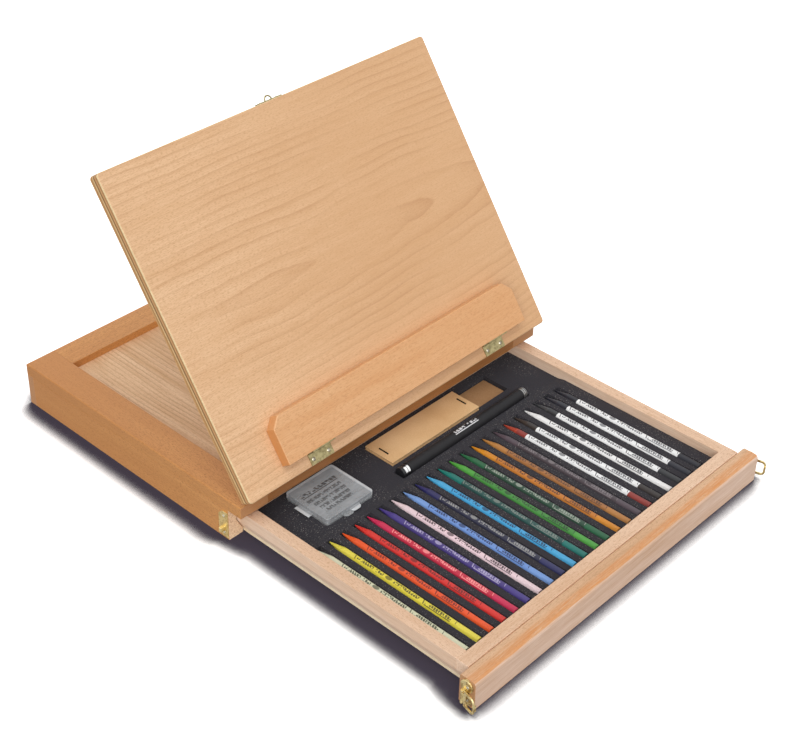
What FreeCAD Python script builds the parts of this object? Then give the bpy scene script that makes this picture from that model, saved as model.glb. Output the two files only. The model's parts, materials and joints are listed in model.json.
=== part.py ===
import FreeCAD, Part
import math
import os

# Table easel with a drawer for pastel pencils: a shallow case, a drawing board hinged to
# its front edge and held up by a folding prop, and a full-width drawer lined with foam.
# Millimetres. The origin is the middle of the underside of the case's back, X to the right,
# Y to the back, Z up. The board is raised and the drawer is open, as the object is used.

Vector = FreeCAD.Vector
X_AXIS = Vector(1, 0, 0)
Z_AXIS = Vector(0, 0, 1)
CENTRE = Vector(0, 0, 0)

# Case
CASE_WIDTH = 410.0
CASE_DEPTH = 315.0
CASE_HEIGHT = 47.2
TOP_THICKNESS = 12.5
STILE_WIDTH = 33.0
RAIL_WIDTH = 32.0
RECESS_DEPTH = 8.0
RABBET_WIDTH = 6.0
PANEL_PLAY = 0.2
SIDE_THICKNESS = 9.6
RUNNER_THICKNESS = 16.8
RUNNER_FOOT = 5.0
RUNNER_TOP = 18.5
BACK_THICKNESS = 9.5
EDGE_EASE = 0.8

# Drawer
DRAWER_HELD = 26.0
BAR_THICKNESS = 17.0
BAR_HEIGHT = 29.8
BAR_ROUND = 4.0
BAR_BACK_CHAMFER = 1.2
BAR_FLOOR_GAP = 0.5
BAR_STOP_GAP = 0.2
RUNNER_GAP = 0.6
DRAWER_RAIL_THICKNESS = 13.0
DRAWER_SIDE_THICKNESS = 12.6
DRAWER_BACK_THICKNESS = 12.0
DRAWER_BACK_GAP = 2.8
DRAWER_TOP_GAP = 4.1
DRAWER_FLOOR_GAP = 1.7
DRAWER_FLOOR_THICKNESS = 4.0

# Foam and pencils
FOAM_HEIGHT = 12.9
FOAM_PLAY = 0.2
PENCIL_FLATS = 7.6
PENCIL_LENGTH = 176.0
PENCIL_LEFT_MARGIN = 8.5
PENCIL_RIGHT_MARGIN = 18.5
PENCIL_PROUD = 3.6
PENCIL_END_MARGIN = 6.5
PENCIL_POINT_LENGTH = 19.0
PENCIL_POINT_FLATS = 12
PENCIL_POINT_RADIUS = 0.8
SLOT_PLAY = 0.15
SLOT_END_PLAY = 0.5
PENCIL_PAIRS = [
    "ivory_yellow", "orange_red", "raspberry_violet", "pink_periwinkle", "navy_sky", "teal_leaf",
    "pine_ochre", "tan_mauve", "sanguine_sepia", "white_grey", "charcoal_black",
]

# Eraser box in the foam
ERASER_BOX_LENGTH = 60.0
ERASER_BOX_HEIGHT = 12.0
ERASER_BOX_SIDE_MARGIN = 38.0
ERASER_BOX_FRONT_MARGIN = 16.5
ERASER_BOX_BACK_MARGIN = 6.0
ERASER_BOX_PROUD = 6.4
ERASER_BOX_WALL = 1.2
ERASER_BOX_CORNER = 3.0
ERASER_LID_HEIGHT = 4.4
ERASER_LID_GAP = 0.1
ERASER_PLAY = 1.0
ERASER_HEADROOM = 0.5
TAB_WIDTH = 12.0
TAB_OVERLAP = 3.0
TAB_REACH = 5.0
TAB_THICKNESS = 1.2
TAB_ROUND = 4.0
HINGE_TAB_REACH = 6.0
POCKET_PLAY = 0.6

# Sanding pad in the foam
PAD_LENGTH = 125.0
PAD_ERASER_GAP = 44.0
PAD_HOLDER_GAP = 7.7
PAD_BACK_MARGIN = 7.8
PAD_LAYERS = 5
PAD_LAYER_THICKNESS = 1.6
PAD_LAYER_STEP = 0.5
CARD_THICKNESS = 2.0
CARD_HANDLE_LENGTH = 46.0
CARD_HANDLE_INSET = 2.8
CARD_CORNER = 1.5
PAD_PROUD = 3.4
STAPLE_WIRE = 1.0
STAPLE_LEG = 4.0
STAPLE_END_MARGIN = 6.0

# Pencil holder in the foam
HOLDER_LENGTH = 183.0
HOLDER_RADIUS = 6.3
HOLDER_RISE = 1.2
HOLDER_OVERHANG = 5.0
HOLDER_PLACE = 0.254
HOLDER_CAP_LENGTH = 7.0
HOLDER_CAP_STEP = 0.5
HOLDER_COLLAR_LENGTH = 10.0
TROUGH_PLAY = 0.3
TROUGH_END_PLAY = 1.5

# Drawing board and its hinges
BOARD_ANGLE = 55.0
BOARD_SIDE_MARGIN = 1.0
BOARD_THICKNESS = 13.5
BOARD_CORNER = 3.5
HINGE_SPACING = 240.0
HINGE_LENGTH = 50.0
HINGE_REACH = 16.0
HINGE_LEAF_THICKNESS = 1.2
HINGE_KNUCKLE_RADIUS = 2.4
HINGE_PIN_RADIUS = 1.0
HINGE_STANDOFF = 2.7
HINGE_KNUCKLES = 3
KNUCKLE_GAP = 0.3
RUNNING_FIT = 0.05
LEAF_CORNER = 1.0

# Ledge and its hinges
LEDGE_LENGTH = 328.0
LEDGE_SHIFT = 6.0
LEDGE_HEIGHT = 45.0
LEDGE_THICKNESS = 12.0
LEDGE_CLIP = 10.0
LEDGE_GAP = 0.3
LEDGE_HINGE_SPACING = 242.0
LEDGE_HINGE_LENGTH = 28.0
LEDGE_HINGE_REACH = 12.1
LEDGE_LEAF_MARGIN = 0.6
LEDGE_LEAF_THICKNESS = 1.0
LEDGE_LEAF_INSET = 0.4
LEDGE_KNUCKLE_RADIUS = 1.6
LEDGE_PIN_RADIUS = 0.7
LEDGE_STANDOFF = 1.9
LEDGE_KNUCKLES = 3

# Prop behind the board
PROP_PIVOT = 135.0
PROP_PIVOT_DROP = 6.0
PROP_WIDTH = 96.0
PROP_THICKNESS = 7.0
PROP_STILE = 23.0
PROP_HEAD = 22.0
PROP_FOOT = 24.0
PROP_CORNER = 10.0
PROP_FLOOR_GAP = 0.3
PROP_PIN_RADIUS = 1.5
EAR_THICKNESS = 2.0
EAR_GAP = 0.4
EAR_RADIUS = 4.0
EAR_FLANGE_LENGTH = 24.0
EAR_FLANGE_WIDTH = 11.0
EAR_FLANGE_THICKNESS = 1.2
PIN_HEAD_RADIUS = 2.4
PIN_HEAD_HEIGHT = 1.0

# Eye plate on the board's top edge
EYE_PLATE_LENGTH = 30.5
EYE_PLATE_WIDTH = 9.0
EYE_PLATE_THICKNESS = 1.0
EYE_RADIUS = 4.0
EYE_WIRE_RADIUS = 0.8
EYE_WIRE_FLATS = 6

# Latches on the ends of the drawer front, and their keepers on the case
LATCH_PLATE_THICKNESS = 1.0
LATCH_HEIGHT = 12.0
LATCH_PIVOT_INSET = 6.5
LATCH_PETAL_RADIUS = 6.6
LATCH_PETAL_SPACING = 14.0
LATCH_PETAL_DOME = 0.7
LATCH_PLATE_FLATS = 24
LATCH_TIP_RADIUS = 3.0
LATCH_TIP_FLATS = 12
LATCH_TIP_OFFSET = 6.0
LATCH_OPEN_ANGLE = 165.0
BARREL_RADIUS = 1.6
BARREL_LENGTH = 9.4
BARREL_GAP = 0.3
LUG_LENGTH = 2.2
LATCH_PIN_RADIUS = 0.8
LOOP_REACH = 17.0
LOOP_HEIGHT = 17.0
LOOP_THICKNESS = 1.2
LOOP_BORDER = 2.5
LOOP_CORNER = 5.0
LOOP_END_BORDER = 2.0
LOOP_ARM_START = 2.6
LOOP_LIP = 1.6
KEEPER_LENGTH = 12.0
KEEPER_HEIGHT = 29.0
KEEPER_FOOT = 2.6
KEEPER_CLIP = 5.0
KEEPER_MARGIN = 0.3
PEG_HEIGHT = 5.0
PEG_WIDTH = 3.2
PEG_PLAY = 0.7
PEG_PROUD = 5.0
PEG_ROUND = 1.0

# Places that follow from the sizes above
half_width = CASE_WIDTH / 2
back = BACK_THICKNESS / 2
front = back - CASE_DEPTH
top_underside = CASE_HEIGHT - TOP_THICKNESS
recess_floor = CASE_HEIGHT - RECESS_DEPTH
recess_half_width = half_width - STILE_WIDTH
recess_front = front + RAIL_WIDTH
recess_back = back - RAIL_WIDTH
side_front = front + BAR_THICKNESS + BAR_STOP_GAP
side_back = back - BACK_THICKNESS

drawer_half_width = half_width - SIDE_THICKNESS - RUNNER_GAP
drawer_foot_half_width = half_width - RUNNER_THICKNESS - RUNNER_GAP
drawer_inner_half_width = drawer_half_width - DRAWER_SIDE_THICKNESS
drawer_top = top_underside - DRAWER_TOP_GAP
drawer_floor_top = DRAWER_FLOOR_GAP + DRAWER_FLOOR_THICKNESS
bar_top = BAR_FLOOR_GAP + BAR_HEIGHT
rail_front = front + BAR_THICKNESS
rail_back = rail_front + DRAWER_RAIL_THICKNESS
drawer_back = side_back - DRAWER_BACK_GAP
drawer_back_inner = drawer_back - DRAWER_BACK_THICKNESS
drawer_travel = drawer_back - front - DRAWER_HELD

foam_front = rail_back + FOAM_PLAY
foam_back = drawer_back_inner - FOAM_PLAY
foam_half_width = drawer_inner_half_width - FOAM_PLAY
foam_top = drawer_floor_top + FOAM_HEIGHT
pencil_axis_z = foam_top + PENCIL_PROUD - PENCIL_FLATS / 2
pencil_end = foam_front + PENCIL_END_MARGIN
pencil_tip = pencil_end + PENCIL_LENGTH
pencil_corner = PENCIL_FLATS / math.sqrt(3)
pencil_count = 2 * len(PENCIL_PAIRS)
pencil_first_x = PENCIL_LEFT_MARGIN - foam_half_width
pencil_last_x = foam_half_width - PENCIL_RIGHT_MARGIN
pencil_pitch = (pencil_last_x - pencil_first_x) / (pencil_count - 1)

holder_y = pencil_tip + HOLDER_PLACE * (foam_back - pencil_tip)
holder_z = foam_top + HOLDER_RISE

eraser_box_back = foam_back - ERASER_BOX_BACK_MARGIN
eraser_box_front = pencil_tip + ERASER_BOX_FRONT_MARGIN
eraser_box_third = (eraser_box_back - eraser_box_front) / 3
eraser_box_left = ERASER_BOX_SIDE_MARGIN - foam_half_width
eraser_box_right = eraser_box_left + ERASER_BOX_LENGTH
eraser_box_middle = (eraser_box_left + eraser_box_right) / 2
eraser_box_top = foam_top + ERASER_BOX_PROUD
eraser_box_floor = eraser_box_top - ERASER_BOX_HEIGHT
lid_underside = eraser_box_top - ERASER_LID_HEIGHT

pad_back = foam_back - PAD_BACK_MARGIN
pad_front = holder_y + HOLDER_RADIUS + PAD_HOLDER_GAP
pad_middle = (pad_front + pad_back) / 2
staple_length = (pad_back - pad_front) / 3
pad_top = foam_top + PAD_PROUD
card_top = pad_top - PAD_LAYERS * PAD_LAYER_THICKNESS
card_floor = card_top - CARD_THICKNESS
pad_left_x = eraser_box_right + PAD_ERASER_GAP
pad_right_x = pad_left_x + PAD_LENGTH
card_right_x = pad_right_x + CARD_HANDLE_LENGTH
handle_front = pad_front + CARD_HANDLE_INSET
handle_back = pad_back - CARD_HANDLE_INSET
card_corner = min(CARD_CORNER, (handle_back - handle_front) / 3)
holder_left_x = pad_left_x - HOLDER_OVERHANG
holder_right_x = holder_left_x + HOLDER_LENGTH

hinge_y = front
hinge_z = CASE_HEIGHT + HINGE_STANDOFF
board_underside = hinge_z + HINGE_STANDOFF
board_face = board_underside + BOARD_THICKNESS
board_half_width = half_width - BOARD_SIDE_MARGIN
board_end = front + CASE_DEPTH

ledge_axis_y = front + LEDGE_LEAF_MARGIN + LEDGE_HINGE_REACH
ledge_axis_z = board_face + LEDGE_STANDOFF
ledge_bottom_y = ledge_axis_y + LEDGE_STANDOFF
ledge_underside = board_face + LEDGE_GAP

prop_y = front + PROP_PIVOT
prop_z = board_underside - PROP_PIVOT_DROP
prop_foot_y = front + 2 * PROP_PIVOT
prop_half_width = PROP_WIDTH / 2
prop_foot_drop = hinge_z - prop_z + PROP_THICKNESS / 2
prop_foot_radius = hinge_z - recess_floor - PROP_FLOOR_GAP
prop_tail = math.sqrt(prop_foot_radius ** 2 - prop_foot_drop ** 2)
prop_end_y = prop_foot_y + prop_tail
ear_inner_x = prop_half_width + EAR_GAP
ear_outer_x = ear_inner_x + EAR_THICKNESS

latch_plate_y = front + BAR_THICKNESS / 2
latch_plate_z = BAR_FLOOR_GAP + BAR_HEIGHT / 2
latch_pivot_y = front + BAR_THICKNESS - LATCH_PIVOT_INSET
latch_plate_face = half_width + LATCH_PLATE_THICKNESS
latch_pivot_x = latch_plate_face + LATCH_PETAL_DOME + BARREL_GAP + BARREL_RADIUS
latch_hole_end = LOOP_REACH - LOOP_END_BORDER
keeper_front = side_front + KEEPER_MARGIN
peg_back = latch_pivot_y + latch_hole_end - PEG_PLAY


def block(x0, x1, y0, y1, z0, z1):
    return Part.makeBox(x1 - x0, y1 - y0, z1 - z0, Vector(x0, y0, z0))


def prism(points, direction):
    return Part.Face(Part.makePolygon(points + [points[0]])).extrude(direction)


def prism_along_x(outline, x0, x1):
    return prism([Vector(x0, y, z) for y, z in outline], Vector(x1 - x0, 0, 0))


def prism_along_y(outline, y0, y1):
    return prism([Vector(x, y0, z) for x, z in outline], Vector(0, y1 - y0, 0))


def prism_along_z(outline, z0, z1):
    return prism([Vector(x, y, z0) for x, y in outline], Vector(0, 0, z1 - z0))


def rod_along_x(radius, x0, x1, y, z):
    return Part.makeCylinder(radius, x1 - x0, Vector(x0, y, z), X_AXIS)


def spun(profile, start, direction):
    """Solid of revolution: the profile is (radius, distance along the direction from start)."""
    points = [Vector(radius, 0, along) for radius, along in profile]
    solid = Part.Face(Part.makePolygon(points + [points[0]])).revolve(CENTRE, Z_AXIS, 360)
    solid.Placement = FreeCAD.Placement(start, FreeCAD.Rotation(Z_AXIS, direction))
    return solid


def edges_along(shape, direction):
    """The straight edges of a shape that run along a direction."""
    found = []
    for edge in shape.Edges:
        run = edge.Vertexes[-1].Point - edge.Vertexes[0].Point
        if run.Length > 0 and abs(abs(run.normalize().dot(direction)) - 1) < 1e-6:
            found.append(edge)
    return found


def slab(x0, x1, y0, y1, z0, z1, corner):
    """A plate lying flat with rounded corners."""
    plate = block(x0, x1, y0, y1, z0, z1)
    return plate.makeFillet(corner, edges_along(plate, Z_AXIS))


def eased(solid, size, chosen):
    """The solid with a small chamfer on each edge that the chosen test picks."""
    edges = [edge for edge in solid.Edges if chosen(edge.BoundBox)]
    return solid.makeChamfer(size, edges)


def joined(shapes):
    whole = shapes[0]
    for shape in shapes[1:]:
        whole = whole.fuse(shape)
    return whole.removeSplitter()


def less(solid, tools):
    return solid.cut(Part.makeCompound(tools))


def moved(shape, x=0.0, y=0.0, z=0.0):
    copy = shape.copy()
    copy.translate(Vector(x, y, z))
    return copy


def turned(shape, point, axis, angle):
    copy = shape.copy()
    copy.rotate(point, axis, angle)
    return copy


def mirrored(shape):
    """The left-hand twin of a right-hand piece."""
    return shape.mirror(CENTRE, X_AXIS)


def knuckle_spans(length, count, first):
    """Every second knuckle of a hinge, as x ranges, starting with number first."""
    pitch = length / count
    half_gap = KNUCKLE_GAP / 2
    return [
        (-length / 2 + index * pitch + half_gap, -length / 2 + (index + 1) * pitch - half_gap)
        for index in range(first, count, 2)
    ]


def hinge_leaf(length, reach, thickness, standoff, knuckle, bore, spans):
    """Leaf in its own frame: the pin lies along X through the origin and the plate lies
    below it, its underside one standoff down, reaching towards +Y."""
    neck = knuckle + KNUCKLE_GAP
    leaf_top = thickness - standoff
    pieces = [block(-length / 2, length / 2, neck, reach, -standoff, leaf_top)]
    for x0, x1 in spans:
        pieces.append(block(x0, x1, 0, neck, -standoff, leaf_top))
        pieces.append(rod_along_x(knuckle, x0, x1, 0, 0))
    return joined(pieces).cut(rod_along_x(bore, -length, length, 0, 0))


# ---- Case ------------------------------------------------------------------------------

def case_side():
    """Right-hand side, thicker at its foot, where a bevel makes the drawer's runner."""
    wall_x = half_width - SIDE_THICKNESS
    foot_x = half_width - RUNNER_THICKNESS
    outline = [
        (half_width, 0), (half_width, top_underside), (wall_x, top_underside),
        (wall_x, RUNNER_TOP), (foot_x, RUNNER_FOOT), (foot_x, 0),
    ]
    return prism_along_y(outline, side_front, side_back)


def case_back():
    return block(-half_width, half_width, side_back, back, 0, top_underside)


def top_stile():
    """Right-hand member of the top frame, with a stopped rabbet for the panel."""
    stile = block(recess_half_width, half_width, front, back, top_underside, CASE_HEIGHT)
    stile = eased(
        stile, EDGE_EASE,
        lambda box: box.ZMin > CASE_HEIGHT - 0.01 and (
            box.XMin > half_width - 0.01 or box.XLength > 1 and box.YLength < 0.01
        ),
    )
    return stile.cut(panel_seat())


def top_rail(outer_y, inner_y):
    """Front or back member of the top frame, between the stiles."""
    y0, y1 = sorted([outer_y, inner_y])
    rail = block(-recess_half_width, recess_half_width, y0, y1, top_underside, CASE_HEIGHT)
    rail = eased(
        rail, EDGE_EASE,
        lambda box: box.ZMin > CASE_HEIGHT - 0.01 and abs(box.YMin - outer_y) < 0.01
        and box.YLength < 0.01,
    )
    return rail.cut(panel_seat())


def panel_seat():
    """The space of the rabbets, all round the recess."""
    return block(
        -recess_half_width - RABBET_WIDTH, recess_half_width + RABBET_WIDTH,
        recess_front - RABBET_WIDTH, recess_back + RABBET_WIDTH,
        top_underside, recess_floor,
    )


def top_panel():
    reach = RABBET_WIDTH - PANEL_PLAY
    return block(
        -recess_half_width - reach, recess_half_width + reach,
        recess_front - reach, recess_back + reach,
        top_underside, recess_floor,
    )


def keeper():
    """Right-hand keeper: a plate with two clipped corners and a peg for the latch loop."""
    y0 = keeper_front
    y1 = keeper_front + KEEPER_LENGTH
    z0 = KEEPER_FOOT
    z1 = KEEPER_FOOT + KEEPER_HEIGHT
    outline = [
        (y0, z0), (y1 - KEEPER_CLIP, z0), (y1, z0 + KEEPER_CLIP),
        (y1, z1 - KEEPER_CLIP), (y1 - KEEPER_CLIP, z1), (y0, z1),
    ]
    plate = prism_along_x(outline, half_width, half_width + LATCH_PLATE_THICKNESS)
    peg = block(
        half_width, half_width + LATCH_PLATE_THICKNESS + PEG_PROUD, peg_back - PEG_WIDTH, peg_back,
        LATCH_HEIGHT - PEG_HEIGHT / 2, LATCH_HEIGHT + PEG_HEIGHT / 2,
    )
    peg_tip = half_width + LATCH_PLATE_THICKNESS + PEG_PROUD
    tip_edges = [edge for edge in peg.Edges if edge.BoundBox.XMin > peg_tip - 0.01]
    return joined([plate, peg.makeFillet(PEG_ROUND, tip_edges)])


# ---- Board hinges ----------------------------------------------------------------------

def hinge_centres(spacing, shift=0.0):
    return [shift - spacing / 2, shift + spacing / 2]


def board_hinge_leaf(first_knuckle, bore):
    return hinge_leaf(
        HINGE_LENGTH, HINGE_REACH, HINGE_LEAF_THICKNESS, HINGE_STANDOFF, HINGE_KNUCKLE_RADIUS,
        bore, knuckle_spans(HINGE_LENGTH, HINGE_KNUCKLES, first_knuckle),
    )


def at_board_hinges(shape):
    """Copies of a hinge piece at both board hinges, on the case."""
    return Part.makeCompound([
        moved(shape, x, hinge_y, hinge_z) for x in hinge_centres(HINGE_SPACING)
    ])


def flipped(shape):
    """A hinge piece turned over about the hinge pin, onto the part that closes over it."""
    return shape.mirror(CENTRE, Z_AXIS)


# ---- Board, ledge, prop, in the closed position: the board lies over the case ----------

def easel_board():
    board = slab(
        -board_half_width, board_half_width, front, board_end, board_underside, board_face,
        BOARD_CORNER,
    )
    return eased(
        board, EDGE_EASE,
        lambda box: box.ZLength < 0.01 and box.ZMin > board_face - 0.01,
    )


def ledge():
    x0 = LEDGE_SHIFT - LEDGE_LENGTH / 2
    x1 = LEDGE_SHIFT + LEDGE_LENGTH / 2
    y0 = ledge_bottom_y
    y1 = ledge_bottom_y + LEDGE_HEIGHT
    outline = [(x0, y0), (x1, y0), (x1, y1 - LEDGE_CLIP), (x1 - LEDGE_CLIP, y1),
               (x0 + LEDGE_CLIP, y1), (x0, y1 - LEDGE_CLIP)]
    body = prism_along_z(outline, ledge_underside, ledge_underside + LEDGE_THICKNESS)
    top = ledge_underside + LEDGE_THICKNESS
    return eased(
        body, EDGE_EASE,
        lambda box: box.ZMin > top - 0.01 and box.ZLength < 0.01 and box.YMax > y0 + 1,
    )


def ledge_hinge_leaf(first_knuckle, bore, reach):
    return hinge_leaf(
        LEDGE_HINGE_LENGTH, reach, LEDGE_LEAF_THICKNESS, LEDGE_STANDOFF, LEDGE_KNUCKLE_RADIUS,
        bore, knuckle_spans(LEDGE_HINGE_LENGTH, LEDGE_KNUCKLES, first_knuckle),
    )


def at_ledge_hinges(shape):
    return Part.makeCompound([
        moved(shape, x, ledge_axis_y, ledge_axis_z)
        for x in hinge_centres(LEDGE_HINGE_SPACING, LEDGE_SHIFT)
    ])


def onto_board(shape):
    """A ledge hinge piece turned to lie on the board's face, below the pin."""
    return turned(shape, CENTRE, Z_AXIS, 180)


def onto_ledge(shape):
    """A ledge hinge piece turned to lie against the ledge's lower edge."""
    return turned(shape, CENTRE, X_AXIS, 90)


def prop_frame():
    """Plywood frame with a window, round at the pivot and with a round-cornered foot."""
    radius = PROP_THICKNESS / 2
    y1 = prop_end_y
    panel = block(
        -prop_half_width, prop_half_width, prop_y, y1, prop_z - radius, prop_z + radius
    )
    foot_edges = [edge for edge in edges_along(panel, Z_AXIS) if edge.BoundBox.YMin > y1 - 1]
    panel = panel.makeFillet(PROP_CORNER, foot_edges)
    nose = rod_along_x(radius, -prop_half_width, prop_half_width, prop_y, prop_z)
    window = slab(
        -prop_half_width + PROP_STILE, prop_half_width - PROP_STILE,
        prop_y + PROP_HEAD, y1 - PROP_FOOT,
        prop_z - PROP_THICKNESS, prop_z + PROP_THICKNESS, PROP_CORNER,
    )
    bore = rod_along_x(
        PROP_PIN_RADIUS + RUNNING_FIT, -PROP_WIDTH, PROP_WIDTH, prop_y, prop_z
    )
    return less(joined([panel, nose]), [window, bore])


def prop_ear():
    """Right-hand ear of the prop's bracket: a flange on the board and a round-ended ear."""
    flange_floor = board_underside - EAR_FLANGE_THICKNESS
    half_flange = EAR_FLANGE_LENGTH / 2
    flange = slab(
        ear_inner_x, ear_inner_x + EAR_FLANGE_WIDTH, prop_y - half_flange, prop_y + half_flange,
        flange_floor, board_underside, LEAF_CORNER,
    )
    ear = block(
        ear_inner_x, ear_outer_x, prop_y - EAR_RADIUS, prop_y + EAR_RADIUS, prop_z, board_underside
    )
    lobe = rod_along_x(EAR_RADIUS, ear_inner_x, ear_outer_x, prop_y, prop_z)
    hole = rod_along_x(PROP_PIN_RADIUS, 0, PROP_WIDTH, prop_y, prop_z)
    return joined([flange, ear, lobe]).cut(hole)


def prop_pin():
    """Pin across both ears, with a round head outside each."""
    pin = rod_along_x(PROP_PIN_RADIUS, -ear_outer_x, ear_outer_x, prop_y, prop_z)
    head = rod_along_x(
        PIN_HEAD_RADIUS, ear_outer_x, ear_outer_x + PIN_HEAD_HEIGHT, prop_y, prop_z
    )
    return joined([pin, head, mirrored(head)])


def eye_plate():
    """Plate on the board's top edge with a half-ring eye standing on it."""
    middle = (board_underside + board_face) / 2
    half_length = EYE_PLATE_LENGTH / 2
    half_plate = EYE_PLATE_WIDTH / 2
    plate_y = board_end + EYE_PLATE_THICKNESS
    lying = slab(
        -half_length, half_length, -half_plate, half_plate, 0, EYE_PLATE_THICKNESS,
        half_plate - LEAF_CORNER,
    )
    plate = moved(turned(lying, CENTRE, X_AXIS, -90), 0, board_end, middle)
    wire = [
        (EYE_RADIUS + EYE_WIRE_RADIUS * math.cos(2 * math.pi * turn / EYE_WIRE_FLATS),
         EYE_WIRE_RADIUS * math.sin(2 * math.pi * turn / EYE_WIRE_FLATS))
        for turn in range(EYE_WIRE_FLATS)
    ]
    ring = spun(wire, Vector(0, plate_y, middle), Z_AXIS)
    proud = block(
        -half_length, half_length, board_end, board_end + CASE_DEPTH, board_underside, board_face
    )
    return joined([plate, ring.common(proud)])


# ---- Drawer, in the closed position ----------------------------------------------------

def drawer_section(floor, top):
    """Full section (x, z) of the drawer between the case's runners."""
    right = [
        (drawer_foot_half_width, floor), (drawer_foot_half_width, RUNNER_FOOT),
        (drawer_half_width, RUNNER_TOP), (drawer_half_width, top),
    ]
    if floor > RUNNER_FOOT:
        rise = (floor - RUNNER_FOOT) / (RUNNER_TOP - RUNNER_FOOT)
        floor_x = drawer_foot_half_width + rise * (drawer_half_width - drawer_foot_half_width)
        right = [(floor_x, floor)] + right[2:]
    left = [(-x, z) for x, z in reversed(right)]
    return right + left


def drawer_front_bar():
    bar = block(
        -half_width, half_width, front, front + BAR_THICKNESS, BAR_FLOOR_GAP, bar_top
    )
    long_edges = edges_along(bar, X_AXIS)
    upper = [edge for edge in long_edges if edge.BoundBox.ZMin > bar_top - 0.01]
    front_edge = [edge for edge in upper if edge.BoundBox.YMax < front + 0.01]
    bar = bar.makeFillet(BAR_ROUND, front_edge)
    return eased(
        bar, BAR_BACK_CHAMFER,
        lambda box: box.ZMin > bar_top - 0.01 and box.YMin > front + BAR_THICKNESS - 0.01,
    )


def drawer_cross_piece(y0, y1):
    """Front rail or back of the drawer's box: the full section, standing on the bottom."""
    return prism_along_y(drawer_section(drawer_floor_top, drawer_top), y0, y1)


def drawer_side():
    """Right-hand side, between the front rail and the back."""
    whole = drawer_cross_piece(rail_back, drawer_back_inner)
    inner = block(
        -CASE_WIDTH, drawer_inner_half_width, rail_back, drawer_back_inner, 0, CASE_HEIGHT
    )
    return whole.cut(inner)


def drawer_bottom():
    return block(
        -drawer_foot_half_width, drawer_foot_half_width, rail_front, drawer_back,
        DRAWER_FLOOR_GAP, drawer_floor_top,
    )


def pencil_x(index):
    return pencil_first_x + index * pencil_pitch


def polygon_points(radius, y, count):
    """Corners of a regular polygon across the Y axis, one corner on +X."""
    return [
        Vector(radius * math.cos(2 * math.pi * turn / count), y,
               radius * math.sin(2 * math.pi * turn / count))
        for turn in range(count)
    ]


def faceted(rings):
    """Solid with flat facets between polygons of as many corners, in order along an axis."""
    loops = [rings[0], rings[-1]]
    for near, far in zip(rings, rings[1:]):
        for turn in range(len(near)):
            loops.append([near[turn - 1], near[turn], far[turn], far[turn - 1]])
    faces = [Part.Face(Part.makePolygon(loop + [loop[0]])) for loop in loops]
    return Part.makeSolid(Part.makeShell(faces))


def pencil(x):
    """Hexagonal pencil with a flat side up, cut to a faceted point at its back end."""
    barrel = faceted([polygon_points(pencil_corner, y, 6) for y in (0, PENCIL_LENGTH)])
    shoulder = PENCIL_LENGTH - PENCIL_POINT_LENGTH
    reach = pencil_corner / math.cos(math.pi / PENCIL_POINT_FLATS)
    envelope = faceted([
        polygon_points(radius, y, PENCIL_POINT_FLATS)
        for radius, y in ((reach, 0), (reach, shoulder), (PENCIL_POINT_RADIUS, PENCIL_LENGTH))
    ])
    return moved(barrel.common(envelope), x, pencil_end, pencil_axis_z)


def pencil_slot(x):
    """Slot in the foam that fits a pencil's lower half."""
    corner = pencil_corner + SLOT_PLAY
    slot_floor = pencil_axis_z - corner * math.sqrt(3) / 2
    outline = [
        (x - corner / 2, slot_floor), (x + corner / 2, slot_floor), (x + corner, pencil_axis_z),
        (x + corner, foam_top + 1), (x - corner, foam_top + 1), (x - corner, pencil_axis_z),
    ]
    return prism_along_y(outline, pencil_end - SLOT_END_PLAY, pencil_tip + SLOT_END_PLAY)


def eraser_box_outline(grow, z0, z1):
    """The eraser box's rounded block, grown or shrunk all round."""
    return slab(
        eraser_box_left - grow, eraser_box_right + grow, eraser_box_front - grow,
        eraser_box_back + grow, z0, z1, ERASER_BOX_CORNER + grow,
    )


def front_tab(x0, z0):
    """Rounded tab on the eraser box's front side."""
    tab = block(
        x0, x0 + TAB_WIDTH, eraser_box_front - TAB_REACH,
        eraser_box_front + ERASER_BOX_WALL / 2, z0, z0 + TAB_THICKNESS,
    )
    tip = [
        edge for edge in edges_along(tab, Z_AXIS)
        if edge.BoundBox.YMax < eraser_box_front - TAB_REACH / 2
    ]
    return tab.makeFillet(TAB_ROUND, tip)


def eraser_box_base():
    shell = eraser_box_outline(0, eraser_box_floor, lid_underside - ERASER_LID_GAP)
    hollow = eraser_box_outline(
        -ERASER_BOX_WALL, eraser_box_floor + ERASER_BOX_WALL, eraser_box_top
    )
    z = lid_underside - ERASER_LID_GAP - TAB_THICKNESS
    tab = front_tab(eraser_box_middle - TAB_WIDTH + TAB_OVERLAP / 2, z)
    return joined([shell.cut(hollow), tab.cut(hollow)])


def eraser_box_lid():
    shell = eraser_box_outline(0, lid_underside, eraser_box_top)
    hollow = eraser_box_outline(
        -ERASER_BOX_WALL, eraser_box_floor, eraser_box_top - ERASER_BOX_WALL
    )
    tab = front_tab(eraser_box_middle - TAB_OVERLAP / 2, lid_underside)
    hinge = block(
        eraser_box_left - HINGE_TAB_REACH, eraser_box_left + ERASER_BOX_WALL / 2,
        eraser_box_front + eraser_box_third, eraser_box_back - eraser_box_third,
        lid_underside, lid_underside + TAB_THICKNESS,
    )
    return joined([shell.cut(hollow), tab.cut(hollow), hinge.cut(hollow)])


def kneaded_eraser():
    grow = -ERASER_BOX_WALL - ERASER_PLAY
    block_floor = eraser_box_floor + ERASER_BOX_WALL
    block_top = eraser_box_top - ERASER_BOX_WALL - ERASER_HEADROOM
    return slab(
        eraser_box_left - grow, eraser_box_right + grow, eraser_box_front - grow,
        eraser_box_back + grow, block_floor, block_top, ERASER_BOX_CORNER,
    )


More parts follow.
